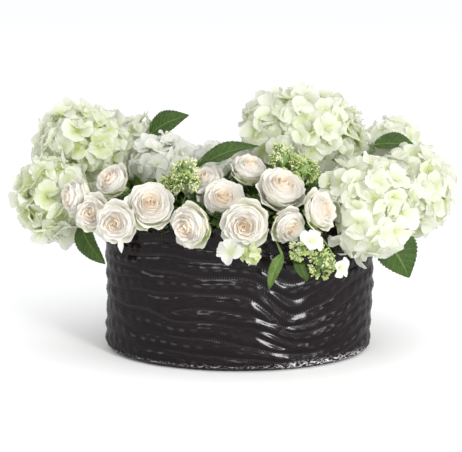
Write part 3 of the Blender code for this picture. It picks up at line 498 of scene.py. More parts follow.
class Look(Nodes):
    """A material under way, with noise in the object's own coordinates or along its skin's traits."""

    def __init__(self, name):
        self.material = bpy.data.materials.new(name)
        self.material.use_nodes = True
        super().__init__(self.material.node_tree)
        self.tree.nodes.clear()
        self.place = self.add("ShaderNodeTexCoord").outputs["Object"]

    def traits(self, *names):
        return [self.add("ShaderNodeAttribute", attribute_name=name).outputs["Fac"] for name in names]

    def finished(self, colour, rough, relief=None, ior=1.5, thin=0.0, through=None):
        """The material. Rough is a number, or a noise with the roughness at its low and its high end;
        relief is a height with its strength and distance. A thin share lets light through."""
        if isinstance(rough, tuple):
            noise, smoothest, roughest = rough
            rough = self.ranged(noise, 0.3, 0.7, smoothest, roughest)
        inputs = {"Base Color": colour, "Roughness": rough, "IOR": ior}
        if relief:
            bump = self.add("ShaderNodeBump", dict(zip(("Height", "Strength", "Distance"), relief)))
            inputs["Normal"] = bump.outputs["Normal"]
        surface = self.add("ShaderNodeBsdfPrincipled", inputs).outputs[0]
        if thin:
            inputs = {"Color": colour if through is None else through}
            glow = self.add("ShaderNodeBsdfTranslucent", inputs).outputs[0]
            surface = self.add("ShaderNodeMixShader", {0: thin, 1: surface, 2: glow}).outputs[0]
        self.add("ShaderNodeOutputMaterial", {"Surface": surface})
        return self.material


def petal_material(name, edge, body, base, shade):
    """Hydrangea petals: pale at the edge, greener towards the eye, with fine veins, and a darker shade colour
    where the tone is high, as painted shade.
    """
    look = Look(name)
    along, across, chance, tone = look.traits(*Skin.TRAITS)
    cloud = look.noise(look.place, 120, 3)
    sides = look.ranged(look.maths("ABSOLUTE", across), 0.45, 1.0)
    rim = look.maths("MAXIMUM", look.ranged(along, 0.45, 1.0), sides)
    green = look.times(tone, look.ranged(cloud, 0.25, 0.75, 0.65, 1.15))
    pale = look.mixed(look.ranged(rim, 0.0, 1.0, 0.25, 1.0), body, edge)
    colour = look.mixed(green, edge, pale)
    eye = look.times(look.ranged(along, 0.55, 0.0), look.ranged(green, 0.0, 0.8, 0.25, 1.0))
    colour = look.mixed(eye, colour, base)
    veins = look.stretched((across, along, chance), (9.0, 1.0, 40.0), 2.6, 3)
    colour = look.tinted(colour, body, veins, 0.50, 0.75, 0.20)
    # Where tone is high the petals take the shade colour: painted shade deep in a head and under it.
    colour = look.tinted(colour, shade, green, 0.75, 1.25, 0.75)
    relief = look.plus(veins, look.times(cloud, 0.7))
    through = look.mixed(0.25, colour, body)
    return look.finished(colour, (veins, 0.52, 0.68), (relief, 0.35, 0.0006), 1.38, 0.50, through)


def rose_material():
    """Rose petals: cream, peach in the heart, yellow-green at the outer petals' feet."""
    cream, ivory, peach = (0.90, 0.865, 0.805), (0.91, 0.895, 0.86), (0.97, 0.80, 0.56)
    lime, white, tan = (0.66, 0.76, 0.30), (0.95, 0.94, 0.92), (0.92, 0.80, 0.66)
    look = Look("rose_petal")
    along, across, chance, tone = look.traits(*Skin.TRAITS)
    cloud = look.noise(look.place, 90, 3)
    colour = look.tinted(cream, ivory, cloud, 0.3, 0.7)
    heart = look.times(look.ranged(tone, 0.22, 1.0), look.ranged(along, 1.0, 0.55, 0.45, 1.0))
    colour = look.mixed(heart, colour, peach)
    foot = look.times(look.ranged(tone, 0.0, -0.6), look.ranged(along, 1.20, 0.30))
    colour = look.mixed(foot, colour, lime)
    colour = look.tinted(colour, white, along, 0.90, 1.0, 0.5)
    veins = look.stretched((across, along, chance), (12.0, 1.0, 30.0), 2.4, 3)
    colour = look.tinted(colour, tan, veins, 0.5, 0.8, 0.10)
    return look.finished(colour, (cloud, 0.48, 0.62), (look.plus(veins, cloud), 0.30, 0.0005), 1.36, 0.44)


def leaf_material(name, dark, light, vein, thin):
    """Leaves: mottled green with a pale midrib, side veins and net, and a paler back."""
    look = Look(name)
    along, across, chance = look.traits("along", "across", "chance")
    sideways = look.maths("ABSOLUTE", across)
    cloud = look.noise(look.place, 160, 5)
    fine = look.noise(look.place, 900, 3)
    order = look.minus(look.times(along, LEAF_VEINS), look.times(sideways, VEIN_SLANT))
    side_veins = look.times(look.ranged(look.off_middle(order), 0.07, 0.0), look.ranged(sideways, 1.0, 0.7))
    veins = look.maths("MAXIMUM", look.ranged(sideways, 0.10, 0.02), side_veins)
    colour = look.tinted(dark, light, cloud, 0.3, 0.7)
    colour = look.tinted(colour, light, chance, 0.0, 1.0, 0.35)
    net = look.stretched((across, along, chance), (22.0, 44.0, 1.0), 1.6, 2)
    colour = look.tinted(colour, vein, net, 0.5, 0.75, 0.35)
    colour = look.mixed(look.times(veins, 0.75), colour, vein)
    back = look.add("ShaderNodeNewGeometry").outputs["Backfacing"]
    colour = look.mixed(look.times(back, 0.45), colour, vein)
    relief = look.plus(look.times(fine, 0.4), look.minus(net, veins))
    return look.finished(colour, (cloud, 0.42, 0.58), (relief, 0.55, 0.0007), 1.36, thin)


def bud_material():
    """Unopened buds: lime at the tip, darker at the foot, and dark green stalks."""
    foot, tip, pale, stalk = (0.18, 0.28, 0.055), (0.54, 0.64, 0.24), (0.82, 0.86, 0.56), (0.055, 0.11, 0.02)
    look = Look("bud")
    along, chance, tone = look.traits("along", "chance", "tone")
    colour = look.tinted(foot, tip, along, 0.0, 0.7)
    colour = look.tinted(colour, pale, chance, 0.25, 0.95, 0.90)
    colour = look.mixed(tone, colour, stalk)
    grain = look.noise(look.place, 1500, 3)
    return look.finished(colour, (grain, 0.42, 0.60), (grain, 0.35, 0.0003), thin=0.15)


def stem_material():
    """Stems and twigs: streaky green with paler flecks."""
    look = Look("stem")
    streaks = look.noise(look.place, 240, 4)
    fine = look.noise(look.place, 1400, 3)
    colour = look.tinted((0.10, 0.19, 0.04), (0.22, 0.34, 0.09), streaks, 0.3, 0.7)
    colour = look.tinted(colour, (0.33, 0.40, 0.16), fine, 0.55, 0.75, 0.4)
    return look.finished(colour, (streaks, 0.45, 0.62), (fine, 0.4, 0.0004))


def moss_material(name, dark, light):
    """Damp moss and foam: clumps of two greens, finely pitted."""
    look = Look(name)
    clumps = look.noise(look.place, 130, 6, 0.65)
    fine = look.noise(look.place, 900, 5, 0.7)
    colour = look.tinted(dark, light, clumps, 0.35, 0.65)
    colour = look.tinted(colour, (0.16, 0.22, 0.05), fine, 0.5, 0.8, 0.6)
    return look.finished(colour, (fine, 0.8, 0.98), (look.plus(clumps, fine), 0.9, 0.003))


def bowl_material():
    """Near-black satin glaze over combed clay: grain along the ridges, tool ticks, dashes of painted
    highlight along the crests, and chipped glaze at the foot, painted near-white partly as painted highlight.
    """
    black, plum, brown = (0.0036, 0.0018, 0.0026), (0.0090, 0.0054, 0.0070), (0.0095, 0.0052, 0.0050)
    tick_grey, painted_glint_grey, clay = (0.036, 0.030, 0.033), (0.052, 0.045, 0.049), (0.92, 0.89, 0.90)
    look = Look("bowl_glaze")
    length, ridge, wear_and_glint, height = look.traits(*Skin.TRAITS)
    grain = look.stretched((length, ridge, 0.0), (26.0, 4.0, 1.0), 3.0, 4, 0.5)
    hair = look.stretched((length, ridge, 3.0), (50.0, 13.0, 1.0), 2.0, 3, 0.5)
    patch = look.noise(look.place, 24, 3)
    colour = look.tinted(black, plum, grain, 0.3, 0.75)
    colour = look.tinted(colour, brown, patch, 0.45, 0.75, 0.5)
    off_groove = look.off_middle(ridge)
    teeth = look.maths("SINE", look.plus(look.times(length, 2200.0), look.times(hair, 2.5)))
    here = look.ranged(look.stretched((length, ridge, 7.0), (9.0, 1.0, 1.0), 1.3, 2), 0.38, 0.50)
    ticks = look.times(look.ranged(off_groove, 0.10, 0.05), here)
    ticks = look.times(ticks, look.ranged(teeth, -0.3, 0.8))
    colour = look.mixed(look.times(ticks, 0.65), colour, tick_grey)
    # Dashes of painted highlight: lighter glaze along the ridge crests, where glints would catch the light.
    row = look.maths("FLOOR", look.plus(ridge, 0.5))
    uneven = look.stretched((length, row, 5.0), (22.0, 1.0, 1.0), 1.0, 1)
    pace = look.plus(look.times(length, 420.0), look.times(row, 2.4))
    beat = look.maths("SINE", look.plus(pace, look.times(uneven, 6.0)))
    glint_shown = look.ranged(look.stretched((length, row, 2.0), (11.0, 1.0, 1.0), 1.2, 2), 0.42, 0.70)
    crest = look.plus(off_groove, look.times(look.minus(hair, 0.5), 0.10))
    # thin is the share of painted highlight on each crest dash.
    thin = look.times(look.ranged(crest, 0.37, 0.49), look.ranged(beat, -0.7, 1.0))
    colour = look.mixed(look.times(thin, glint_shown), colour, painted_glint_grey)
    # Chipped glaze at the foot shows pale clay; its near-white is also painted highlight on the chipped edge.
    flaked = look.stretched((length, height, 1.0), (230.0, 420.0, 1.0), 1.0, 4, 0.7)
    chips_and_glints = look.times(wear_and_glint, look.ranged(flaked, 0.50, 0.57))
    colour = look.mixed(chips_and_glints, colour, clay)
    relief = look.plus(look.times(grain, 0.18), look.times(hair, 0.14))
    relief = look.minus(relief, look.times(ticks, 0.55))
    worn = look.plus(look.times(grain, 0.6), look.times(patch, 0.4))
    return look.finished(colour, (worn, 0.09, 0.17), (relief, 0.18, 0.0009), 1.46)


def floor_material():
    """A pale floor, darker where something mirrors it."""
    look = Look("studio_floor")
    colour = look.mixed(look.noise(look.place, 6, 2), (0.92, 0.92, 0.92), (0.94, 0.94, 0.94))
    mirrored = look.add("ShaderNodeLightPath").outputs["Is Glossy Ray"]
    return look.finished(look.mixed(look.times(mirrored, 0.65), colour, (0.0, 0.0, 0.0)), 0.9)


PETAL = petal_material(
    "hydrangea_petal", (0.875, 0.88, 0.835), (0.80, 0.86, 0.52), (0.60, 0.70, 0.22), (0.66, 0.73, 0.34)
)
WHITE_PETAL = petal_material(
    "white_petal", (0.90, 0.90, 0.87), (0.86, 0.89, 0.76), (0.68, 0.75, 0.40), (0.64, 0.70, 0.42)
)
ROSE = rose_material()
LEAF = leaf_material("leaf", (0.020, 0.048, 0.007), (0.046, 0.095, 0.014), (0.13, 0.20, 0.045), 0.06)
YOUNG_LEAF = leaf_material("young_leaf", (0.07, 0.14, 0.025), (0.14, 0.23, 0.05), (0.27, 0.37, 0.13), 0.2)
BUD = bud_material()
STEM = stem_material()
MOSS = moss_material("moss", (0.014, 0.030, 0.006), (0.050, 0.090, 0.016))
FOAM = moss_material("floral_foam", (0.030, 0.070, 0.020), (0.050, 0.100, 0.028))
BOWL = bowl_material()

# ---- hydrangeas and lace florets


def add_florets(
    skin, bloom, spots, normals, size, tone, rng,
    cup=0.10, flat=0.0, kind=0, eye_kind=1, grid=(7, 8), breadth=(0.52, 0.62),
):
    """Florets of four broad round petals around a small bead, inside a bloom if there is one."""
    count = len(spots)
    side, other = tangents(normals)
    t, s = sheet_grid(*grid)
    shape = (count, 4, 1, 1)
    number = np.arange(4)[None, :, None, None]
    length = size * rng.uniform(0.86, 1.12, shape)
    width = length * rng.uniform(*breadth, shape)
    lift = rng.uniform(0.10, 0.75, shape) * (1 - flat)
    curl = rng.uniform(-0.05, 0.60, shape) * (1 - flat) + 0.10 * flat
    bend = cup + rng.uniform(-0.10, 0.22, shape) * (1 - 0.5 * flat)
    twist = rng.uniform(-0.18, 0.18, shape) * (1 - 0.5 * flat)
    phase = rng.uniform(0, math.tau, shape)
    widest, claw = 0.58, 0.13
    outer = np.sqrt(1 - (np.maximum(t - widest, 0) / 0.455) ** 2)
    swell = (claw + (1 - claw) * np.sin(np.minimum(t / widest, 1) * math.pi / 2) ** 1.15) * outer
    x = width * s * swell
    y = length * (t - 0.10 * t**6 * s * s - 0.05 * np.exp(-((s / 0.25) ** 2)) * t**10)
    z = length * (lift * t - curl * t * t + bend * s * s * swell * swell + twist * s * t)
    z = z + length * 0.035 * t * t * np.sin(2.7 * math.pi * s + phase)
    z = z + length * 0.07 * t * (number % 2)
    turn = rng.uniform(0, math.tau, (count, 1, 1, 1)) + number * math.pi / 2
    turn = turn + rng.uniform(-0.14, 0.14, shape)
    first = (y * np.cos(turn) - x * np.sin(turn))[..., None]
    second = (y * np.sin(turn) + x * np.cos(turn))[..., None]
    frames = [each[:, None, None, None, :] for each in (spots, side, other, normals)]
    points = frames[0] + first * frames[1] + second * frames[2] + z[..., None] * frames[3]
    if bloom is not None:
        points = bloom.squeezed(points)
    chance = rng.uniform(0, 1, shape)
    tones = np.reshape(tone, (-1, 1, 1, 1)) + rng.uniform(-0.06, 0.06, shape)
    petals = (count * 4, 1, 1)
    skin.sheets(points.reshape(-1, *grid, 3), t, s, chance.reshape(petals), tones.reshape(petals), kind)
    heart = spots + normals * size * 0.10
    if bloom is not None:
        heart = bloom.squeezed(heart)
    beads(skin, heart, normals, size * 0.14, size * 0.07, rng.uniform(0.3, 1, count), 0.0, eye_kind)


def build_head(name, bloom, tone, slot, rng):
    """A hydrangea head: two layers of florets over a green core. The inner layer, the core and the florets
    that face down get more tone, which paints them greener and darker as painted shade.
    """
    skin = Skin()
    area = bloom.area() * (1 - math.cos(HEAD_SPREAD)) / 2
    # The inner layer's extra tone is painted shade for the depth between the outer florets.
    for sunk, share, green in ((0.0120, 1.0, 0.0), (0.0205, 0.65, 0.24)):
        ways = golden_ways(round(share * area / FLORET_AREA), HEAD_SPREAD, bloom.axis)
        ways = unit(ways + 0.07 * rng.normal(size=ways.shape))
        depths = sunk + np.clip(rng.normal(0, 0.0016, len(ways)), -0.002, 0.005)
        spots = bloom.centre + ways * (bloom.reach - depths[:, None])
        normals = unit(unit(ways / bloom.reach) + 0.31 * rng.normal(size=ways.shape))
        # Florets that face down get more tone: greener, and darker as painted shade under the head.
        tones = tone + green + rng.normal(0, 0.22, len(ways)) + 0.30 * np.clip(-ways[:, 2], 0, 1)
        add_florets(skin, bloom, spots, normals, FLORET_SIZE, np.clip(tones, 0.0, 1.25), rng)
    if name in DROOPING_HEADS:
        way, extra = DROOPING_HEADS[name]
        ways = golden_ways(9, math.radians(36), unit(np.array(way)))
        spots = bloom.centre + ways * (bloom.reach + extra)
        add_florets(skin, None, spots, ways, FLORET_SIZE * 1.08, tone - 0.15, rng)
    # The core is painted at full tone, a dark green that stands for the shade between the florets.
    core = bloom.squeezed(bloom.centre + ball_ways(15, 25) * (bloom.reach - 0.027))
    skin.sheets(core[None], 0.2, 0.0, 0.4, 1.0)
    petal = WHITE_PETAL if slot == "petal_white" else PETAL
    skin.piece("hydrangea_" + name, [petal, BUD], slot, ["head_" + name])


# ---- roses


def add_rose(skin, bloom, rng):
    """A full garden rose: petals in a spiral, closed in the heart and opening outwards.

    Each petal's section is a curve from the foot by way of its bulge to its lip; o runs from the
    innermost petal to the outermost.
    """
    size = bloom.reach[0]
    shape = (ROSE_PETALS, 1, 1)
    number = np.arange(ROSE_PETALS).reshape(shape)
    o = number / (ROSE_PETALS - 1)
    t, s = sheet_grid(11, 13)
    wrap = 2.0 - 1.15 * o**0.5 + rng.uniform(-0.08, 0.08, shape)
    bulge = 0.10 + 0.78 * o**0.95
    lip = 0.04 + 0.92 * o**1.10 + rng.uniform(-0.040, 0.040, shape)
    top = 0.56 + 0.04 * np.sin(math.pi * o) - 0.52 * o**2.6 + rng.uniform(-0.055, 0.045, shape)
    share = t * (1 - 0.24 * np.abs(s) ** 2.4 * (0.5 + 0.5 * o))
    k = 1 - share
    radius = 0.05 * k**3 + 3 * k * share * bulge * (0.75 * k + 1.08 * share) + share**3 * lip
    height = -0.60 * k**3 + 3 * k * share * (share * (top - 0.36) - 0.52 * k) + share**3 * top
    roll = np.clip((share - 0.80) / 0.20, 0, 1) ** 2
    point = np.exp(-((s / 0.35) ** 2))
    radius = radius + roll * (0.045 + 0.09 * o**1.5) * (0.7 + 0.5 * point)
    height = height - roll * (0.015 + 0.09 * o**1.5) + 0.045 * point * share**6
    radius = radius + (0.035 + 0.03 * o) * s * share
    wave = rng.uniform(0, math.tau, shape)
    radius = radius + 0.036 * share**3 * np.sin(3.1 * math.pi * s + wave) * (0.35 + 0.65 * o)
    height = height + 0.044 * share**3 * np.sin(2.3 * math.pi * s + 2 * wave) * (0.35 + 0.65 * o)
    height = height + 0.014 * share**5 * np.sin(4.3 * math.pi * s + 3 * wave) * (0.5 + 0.5 * o)
    facing = number * GOLDEN_ANGLE + rng.uniform(-0.16, 0.16, shape)
    around = facing + wrap * s * (0.45 + 0.55 * np.sin(np.minimum(t / 0.6, 1) * math.pi / 2))
    side, other = tangents(bloom.axis)
    points = radius[..., None] * spoke(around, side, other) + height[..., None] * bloom.axis
    points = bloom.squeezed(bloom.centre + points * size * ROSE_FULLNESS)
    hang = np.clip(-np.cos(facing) * side[2] - np.sin(facing) * other[2], 0, 1)
    green = (GREEN_FROM - o) / (1 - GREEN_FROM)
    green = green * (0.35 * rng.uniform(0.2, 1.0, shape) + hang * rng.uniform(0.1, 1.0))
    tone = np.where(o > GREEN_FROM, green, np.clip(1.15 - 1.6 * o, 0, 1))
    skin.sheets(points, t, s, rng.uniform(0, 1, shape), tone)
    out = np.linspace(0.02, 0.80, 14)[:, None]
    turn = np.linspace(0, math.tau, 41)[None, :]
    high = 0.42 - 0.50 * out**2.4 + 0.05 * np.sin(9 * out * math.pi + 2 * turn)
    dome = out[..., None] * spoke(turn, side, other) + high[..., None] * bloom.axis
    dome = bloom.squeezed(bloom.centre + dome * size)
    skin.sheets(dome[None], 0.7, 0.0, 0.5, np.clip(0.9 - 1.5 * out, 0, 1))
    add_calyx(skin, bloom, rng)


def add_hanging_petal(skin):
    """A loose petal that hangs below the roses."""
    foot, down, front, length = (np.array([each]) for each in HANGING_PETAL)
    scattered_leaves(skin, foot, unit(down), front, length, 0.42 * length, np.array([0.4]), 0)


def add_calyx(skin, bloom, rng):
    """The green cup under a rose, with five sepals."""
    size = bloom.reach[0]
    side, other = tangents(bloom.axis)
    foot = bloom.centre - bloom.axis * size * 0.72
    beads(skin, foot[None], bloom.axis[None], size * 0.42, size * 0.19, 0.2, 0.35, 1, 7, 10)
    t, s = sheet_grid(7, 5)
    turn = (np.arange(5) * math.tau / 5 + rng.uniform(0, 6))[:, None, None]
    out = 0.14 + 0.55 * t
    height = -0.62 - 0.16 * np.sin(math.pi * t) + rng.uniform(-0.1, 0.25, (5, 1, 1)) * t * t
    width = 0.12 * np.sin(math.pi * (0.12 + 0.86 * t)) + 0.005
    level = spoke(turn + math.pi / 2, side, other)
    points = out[..., None] * spoke(turn, side, other) + (width * s)[..., None] * level
    points = points + height[..., None] * bloom.axis
    points = bloom.squeezed(bloom.centre + points * size)
    skin.sheets(points, 0.5 + 0.5 * t, s, 0.2, 0.25, 1)


# ---- buds


def add_cluster(skin, bloom, rng):
    """A loose dome of little buds, in tufts that each stand on a stalk."""
    size = bloom.reach[0]
    tufts = round(TUFTS_PER_METRE * size)
    each = BUDS_PER_TUFT
    ways = golden_ways(tufts, math.radians(140), bloom.axis)
    ways = unit(ways + 0.16 * rng.normal(size=ways.shape))
    middles = bloom.centre + ways * (size * rng.uniform(0.55, 0.92, tufts))[:, None]
    spread = unit(ways[:, None] * 0.75 + rng.normal(size=(tufts, each, 3)))
    reach = size * rng.uniform(0.16, 0.40, (tufts, each, 1)) * rng.uniform(0.7, 1.3, (tufts, 1, 1))
    spots = bloom.squeezed((middles[:, None] + spread * reach).reshape(-1, 3))
    roots = bloom.squeezed(np.repeat(middles - ways * 0.12 * size, each, axis=0))
    lean = unit(spread.reshape(-1, 3) + 0.4 * np.repeat(ways, each, axis=0))
    chance = np.repeat(rng.uniform(0, 0.8, tufts), each) + rng.uniform(-0.2, 0.4, tufts * each)
    chance = np.clip(chance, 0, 1)
    width = rng.uniform(0.0008, 0.0016, tufts * each)
    beads(skin, spots, lean, width * rng.uniform(2.2, 3.4, tufts * each), width, chance, 0.0, 0)
    tubes(skin, roots, spots, 0.0003, 3, 0.3, 0, chance)
    hub = np.repeat(bloom.centre[None], tufts, axis=0)
    tubes(skin, hub, bloom.squeezed(middles), 0.0006, 5, 0.5, 0, rng.uniform(0, 0.3, tufts))


def add_green_florets(skin, bloom, rng):
    """A few small green florets, just opening, round a bud cluster."""
    facing = unit(np.array([0.1, -0.9, 0.25]))
    ways = golden_ways(5, math.radians(80), facing)
    spots = bloom.centre + ways * bloom.reach * 0.85
    add_florets(
        skin, None, spots, unit(ways + 0.3 * facing), 0.0090, 1.15, rng,
        cup=0.25, kind=1, eye_kind=0, grid=(8, 8), breadth=(0.42, 0.50),
    )


# ---- leaves


def build_leaf(name, leaf, teeth, material, blooms, rng):
    """A toothed leaf, folded along its midrib, quilted between its veins and bent clear of the blooms."""
    foot, tip, width, upward = leaf
    along = np.subtract(tip, foot)
    size = np.linalg.norm(along)
    side = unit(np.cross(along, upward))
    face = unit(np.cross(side, along))
    t, s = sheet_grid(79, 17)
    away = np.abs(s)
    half = 0.5 * width * np.sin(math.pi * (0.03 + 0.965 * t) ** 0.75) ** 0.85
    tooth = ((t * teeth) % 1) - 0.4
    half = half * (1 + 0.10 * tooth * smooth(away, 0.6, 1.0) * smooth(t, 0.03, 0.15))
    order = t * LEAF_VEINS - away * VEIN_SLANT
    quilt = np.abs(np.sin(math.pi * (order + 0.5))) * smooth(away, 0.04, 0.3) * (1 - 0.5 * away)
    wave = 0.035 * size * np.sin(5.5 * t + 2.0 * np.sign(s)) * away**2
    rise = (0.10 * size + wave) * np.sin(math.pi * t) + 0.30 * half * away + 0.012 * size * quilt
    points = foot + t[..., None] * along + (half * s)[..., None] * side + rise[..., None] * face
    for _ in range(8):
        points = pushed_clear(points, LEAF_GAP, blooms)
    skin = Skin()
    skin.sheets(points[None], t, s, rng.uniform(0, 1), 0.0)
    skin.piece(name, [material], "leaf_green")


def scattered_leaves(skin, feet, ways, ups, length, width, chance, kind):
    """Many small pointed leaves at once, which bend down at the tip."""
    t, s = sheet_grid(5, 3)
    side = unit(np.cross(ways, ups))
    face = unit(np.cross(side, ways))
    size = length[:, None, None]
    half = width[:, None, None] * 0.5 * np.sin(math.pi * (0.05 + 0.94 * t) ** 0.8)
    rise = size * (0.16 * np.sin(math.pi * t) - 0.18 * t * t) + half * 0.5 * np.abs(s)
    points = feet[:, None, None] + (size * t)[..., None] * ways[:, None, None]
    points = points + (half * s)[..., None] * side[:, None, None] + rise[..., None] * face[:, None, None]
    skin.sheets(points, t, s, chance[:, None, None], 0.0, kind)


# ---- bowl

# Where the ridges step down: distance round from the front, height, width, half height, drop, fade.
RIDGE_STEPS = (
    (0.038, 0.068, 0.054, 0.060, 0.034, 0.13),
    (0.300, 0.090, 0.060, 0.050, 0.018, 0.12),
    (-0.330, 0.075, 0.055, 0.055, 0.020, 0.14),
    (-0.165, 0.040, 0.050, 0.035, 0.006, 0.05),
)
# One more ridge runs between two ends, each its distance round from the front and its height.
RIDGE_EXTRAS = (
    ((-0.077, 0.066), (0.038, 0.058)),
    ((0.032, 0.093), (0.150, 0.112)),
    ((0.054, 0.050), (0.190, 0.060)),
    ((0.022, 0.044), (0.050, 0.026)),
    ((-0.190, 0.120), (-0.120, 0.104)),
    ((-0.300, 0.060), (-0.215, 0.050)),
    ((0.280, 0.105), (0.390, 0.090)),
)
# Slow waves of the ridges: how many round the bowl, size in ridges, lean with height, start.
RIDGE_WAVES = (
    (2, 0.17, 9, 0.4),
    (3, 0.15, -14, 1.9),
    (5, 0.12, 21, 4.0),
    (8, 0.08, -37, 2.2),
    (13, 0.05, 60, 5.1),
)


def distance_round(length, place, whole):
    """The distance from a place to each length, the shorter way round the whole bowl."""
    return (length - place + whole / 2) % whole - whole / 2


def ridge_order(length, height, whole):
    """A number that grows by one from each ridge to the next; length runs round from the front."""
    turn = math.tau * length / whole
    order = height / RIDGE_PITCH
    for waves, size, lean, start in RIDGE_WAVES:
        order = order + size * np.sin(waves * turn + lean * height + start)
    for place, level, width, tall, drop, fade in RIDGE_STEPS:
        away = distance_round(length, place, whole)
        step = smooth(away, -width / 2, width / 2) * (1 - smooth(away, width / 2, width / 2 + fade))
        order = order + drop / RIDGE_PITCH * step * np.exp(-(((height - level) / tall) ** 2))
    for (start, low), (end, high) in RIDGE_EXTRAS:
        away = distance_round(length, (start + end) / 2, whole)
        half = (end - start) / 2
        from_start = away + half + 3j * (height - low)
        from_end = away - half + 3j * (height - high)
        order = order + np.angle(from_start * np.conj(from_end)) / math.tau
    return order


def bowl_section():
    """The bowl's section, from the middle of its underside up the wall, over the lip and down inside.

    With its radius and height comes whether each row is on the outer wall, which is combed.
    """
    corner = np.linspace(0, math.pi / 2, 12)[1:-1]
    lip = np.linspace(0, math.pi, 9)[1:]
    lip_foot = BOWL_HEIGHT - LIP_RISE
    corner_foot = BOWL_HALF_LENGTH - BOWL_CORNER
    parts = (
        ([0.001, 0.10, corner_foot], [0, 0, 0]),
        (corner_foot + BOWL_CORNER * np.sin(corner), 0.9 * BOWL_CORNER * (1 - np.cos(corner)) + 0.0008),
        (np.full(WALL_ROWS, BOWL_HALF_LENGTH), np.linspace(BOWL_CORNER, lip_foot, WALL_ROWS)),
        (BOWL_HALF_LENGTH - BOWL_WALL / 2 * (1 - np.cos(lip)), lip_foot + LIP_RISE * np.sin(lip)),
        ([BOWL_INSIDE, BOWL_INSIDE], [BOWL_HEIGHT - 0.02, BOWL_FLOOR + BOWL_CORNER]),
        ([BOWL_INSIDE - BOWL_CORNER, 0.001], [BOWL_FLOOR, BOWL_FLOOR]),
    )
    radius, height = (np.concatenate(rows)[:, None] for rows in zip(*parts))
    row = np.arange(len(radius))[:, None]
    first = len(parts[0][0])
    return radius, height, (row >= first) & (row < first + len(corner) + WALL_ROWS + 2)


def combed_relief(along, height, order, whole):
    """How far the combed wall stands out. The ridges are bolder and smoother where they swirl."""
    row = np.floor(order + 0.5)
    crest = 0.5 + 0.5 * np.cos(math.tau * order)
    turn = math.tau * along / whole
    vary = 0.58 + 0.22 * np.sin(9 * turn + 1.7 * row) + 0.14 * np.sin(23 * turn + 2.9 * row)
    swirl = 0
    for place, level, width, tall, drop, _ in RIDGE_STEPS:
        away = distance_round(along, place, whole)
        swirl = swirl + 20 * drop * np.exp(-((away / width) ** 2) - ((height - level) / tall) ** 2)
    ridges = RIDGE_DEPTH * (2 * crest**0.8 * (vary + swirl) - 1.2 * (0.58 + swirl))
    comb = 0.00020 * np.sin(4 * math.tau * order + 2 * np.sin(7 * turn) + 1.3)
    comb = comb + 0.00010 * np.sin(9 * math.tau * order + 3 * np.sin(5 * turn))
    dashes = 0.00042 * crest * np.sin(58 * turn + 2.4 * row + 1.5 * np.sin(6 * turn + row))
    slow = 0.0009 * np.sin(3 * turn + 40 * height) + 0.0005 * np.sin(7 * turn - 25 * height)
    return ridges + (1 - 0.9 * np.minimum(1.6 * swirl, 1)) * (comb + dashes) + slow


def glaze_wear_and_glints(along, height):
    """How worn the glaze is: along the foot, most of all right of the front, and along the rim. Along the
    foot the worn places are painted near-white, partly as painted highlight on the chipped edge.
    """
    chipped = smooth(along, 0.02, 0.07) * (1 - smooth(along, 0.16, 0.20))
    foot = np.exp(-(((height - 0.0060) / (0.0014 + 0.0022 * chipped)) ** 2)) * (0.35 + 0.65 * chipped)
    return np.maximum(foot, 0.5 * np.exp(-(((height - BOWL_HEIGHT) / 0.002) ** 2)))


def build_bowl():
    """The combed bowl. Its seam is at the back, and lengths round it count from the front."""
    around = np.linspace(math.pi / 2, 2.5 * math.pi, WALL_COLUMNS + 1)
    steps = np.linalg.norm(np.diff(oval(around, BOWL_HALF_LENGTH), axis=0), axis=1)
    whole = steps.sum()
    along = np.concatenate([[0], np.cumsum(steps)])[None, :] - whole / 2
    radius, height, outer = bowl_section()
    order = ridge_order(along, height, whole)
    rim_fade = 1 - smooth(height, BOWL_HEIGHT - 0.006, BOWL_HEIGHT - 0.001)
    turn = math.tau * along / whole
    ragged = 0.0007 * np.sin(61 * turn + 5 * np.sin(17 * turn)) + 0.0006 * np.sin(113 * turn + 2)
    ragged = ragged * np.exp(-(((height - 0.007) / 0.005) ** 2))
    relief = combed_relief(along, height, order, whole) * smooth(height, 0.001, 0.014) * rim_fade
    flat = oval(around, radius + (relief + ragged) * outer)
    points = np.dstack([flat, np.broadcast_to(height, flat.shape[:2])])
    skin = Skin()
    skin.sheets(points[None], along, order, glaze_wear_and_glints(along, height) * outer, height)
    skin.piece("bowl_ridged", [BOWL], "bowl_glaze", ["bowl"])


# ---- moss and low foliage


def mound_height(x, y):
    """The height of the moss on the foam's crown."""
    share = np.minimum(1, np.hypot(x, y / BOWL_NARROWING) / BOWL_INSIDE)
    return FOAM_EDGE_HEIGHT + 0.003 + (FOAM_RISE + 0.004) * (1 - share**2)


def on_mound(flat, lift):
    return np.column_stack([flat, mound_height(flat[:, 0], flat[:, 1]) + lift])


def outward(flat):
    """Level directions away from the middle."""
    return unit(np.column_stack([flat, np.zeros(len(flat))]))


def outside(blooms, points, scale):
    """Whether each point is outside every bloom, scaled about its centre."""
    return ~np.any([bloom.inside(points, scale) for bloom in blooms], axis=0)


def low_leaves(blooms, rng):
    """Short leaves all over the moss."""
    count = 5200
    turn = rng.uniform(0, math.tau, count)
    flat = oval(turn, BOWL_INSIDE * (np.sqrt(rng.uniform(0, 1, count)) * 0.99))
    feet = on_mound(flat, 0.001)
    out = np.column_stack([flat, np.zeros(count)])
    out = unit(out + 0.02 * rng.normal(size=(count, 3)))
    lean = rng.uniform(0.1, 1.3, count)[:, None]
    ways = unit(out * lean + UP + 0.45 * rng.normal(size=(count, 3)))
    length = rng.uniform(0.008, 0.024, count)
    clear = outside(blooms, feet + ways * length[:, None], 0.97) & outside(blooms, feet, 0.80)
    return feet[clear], ways[clear], length[clear]


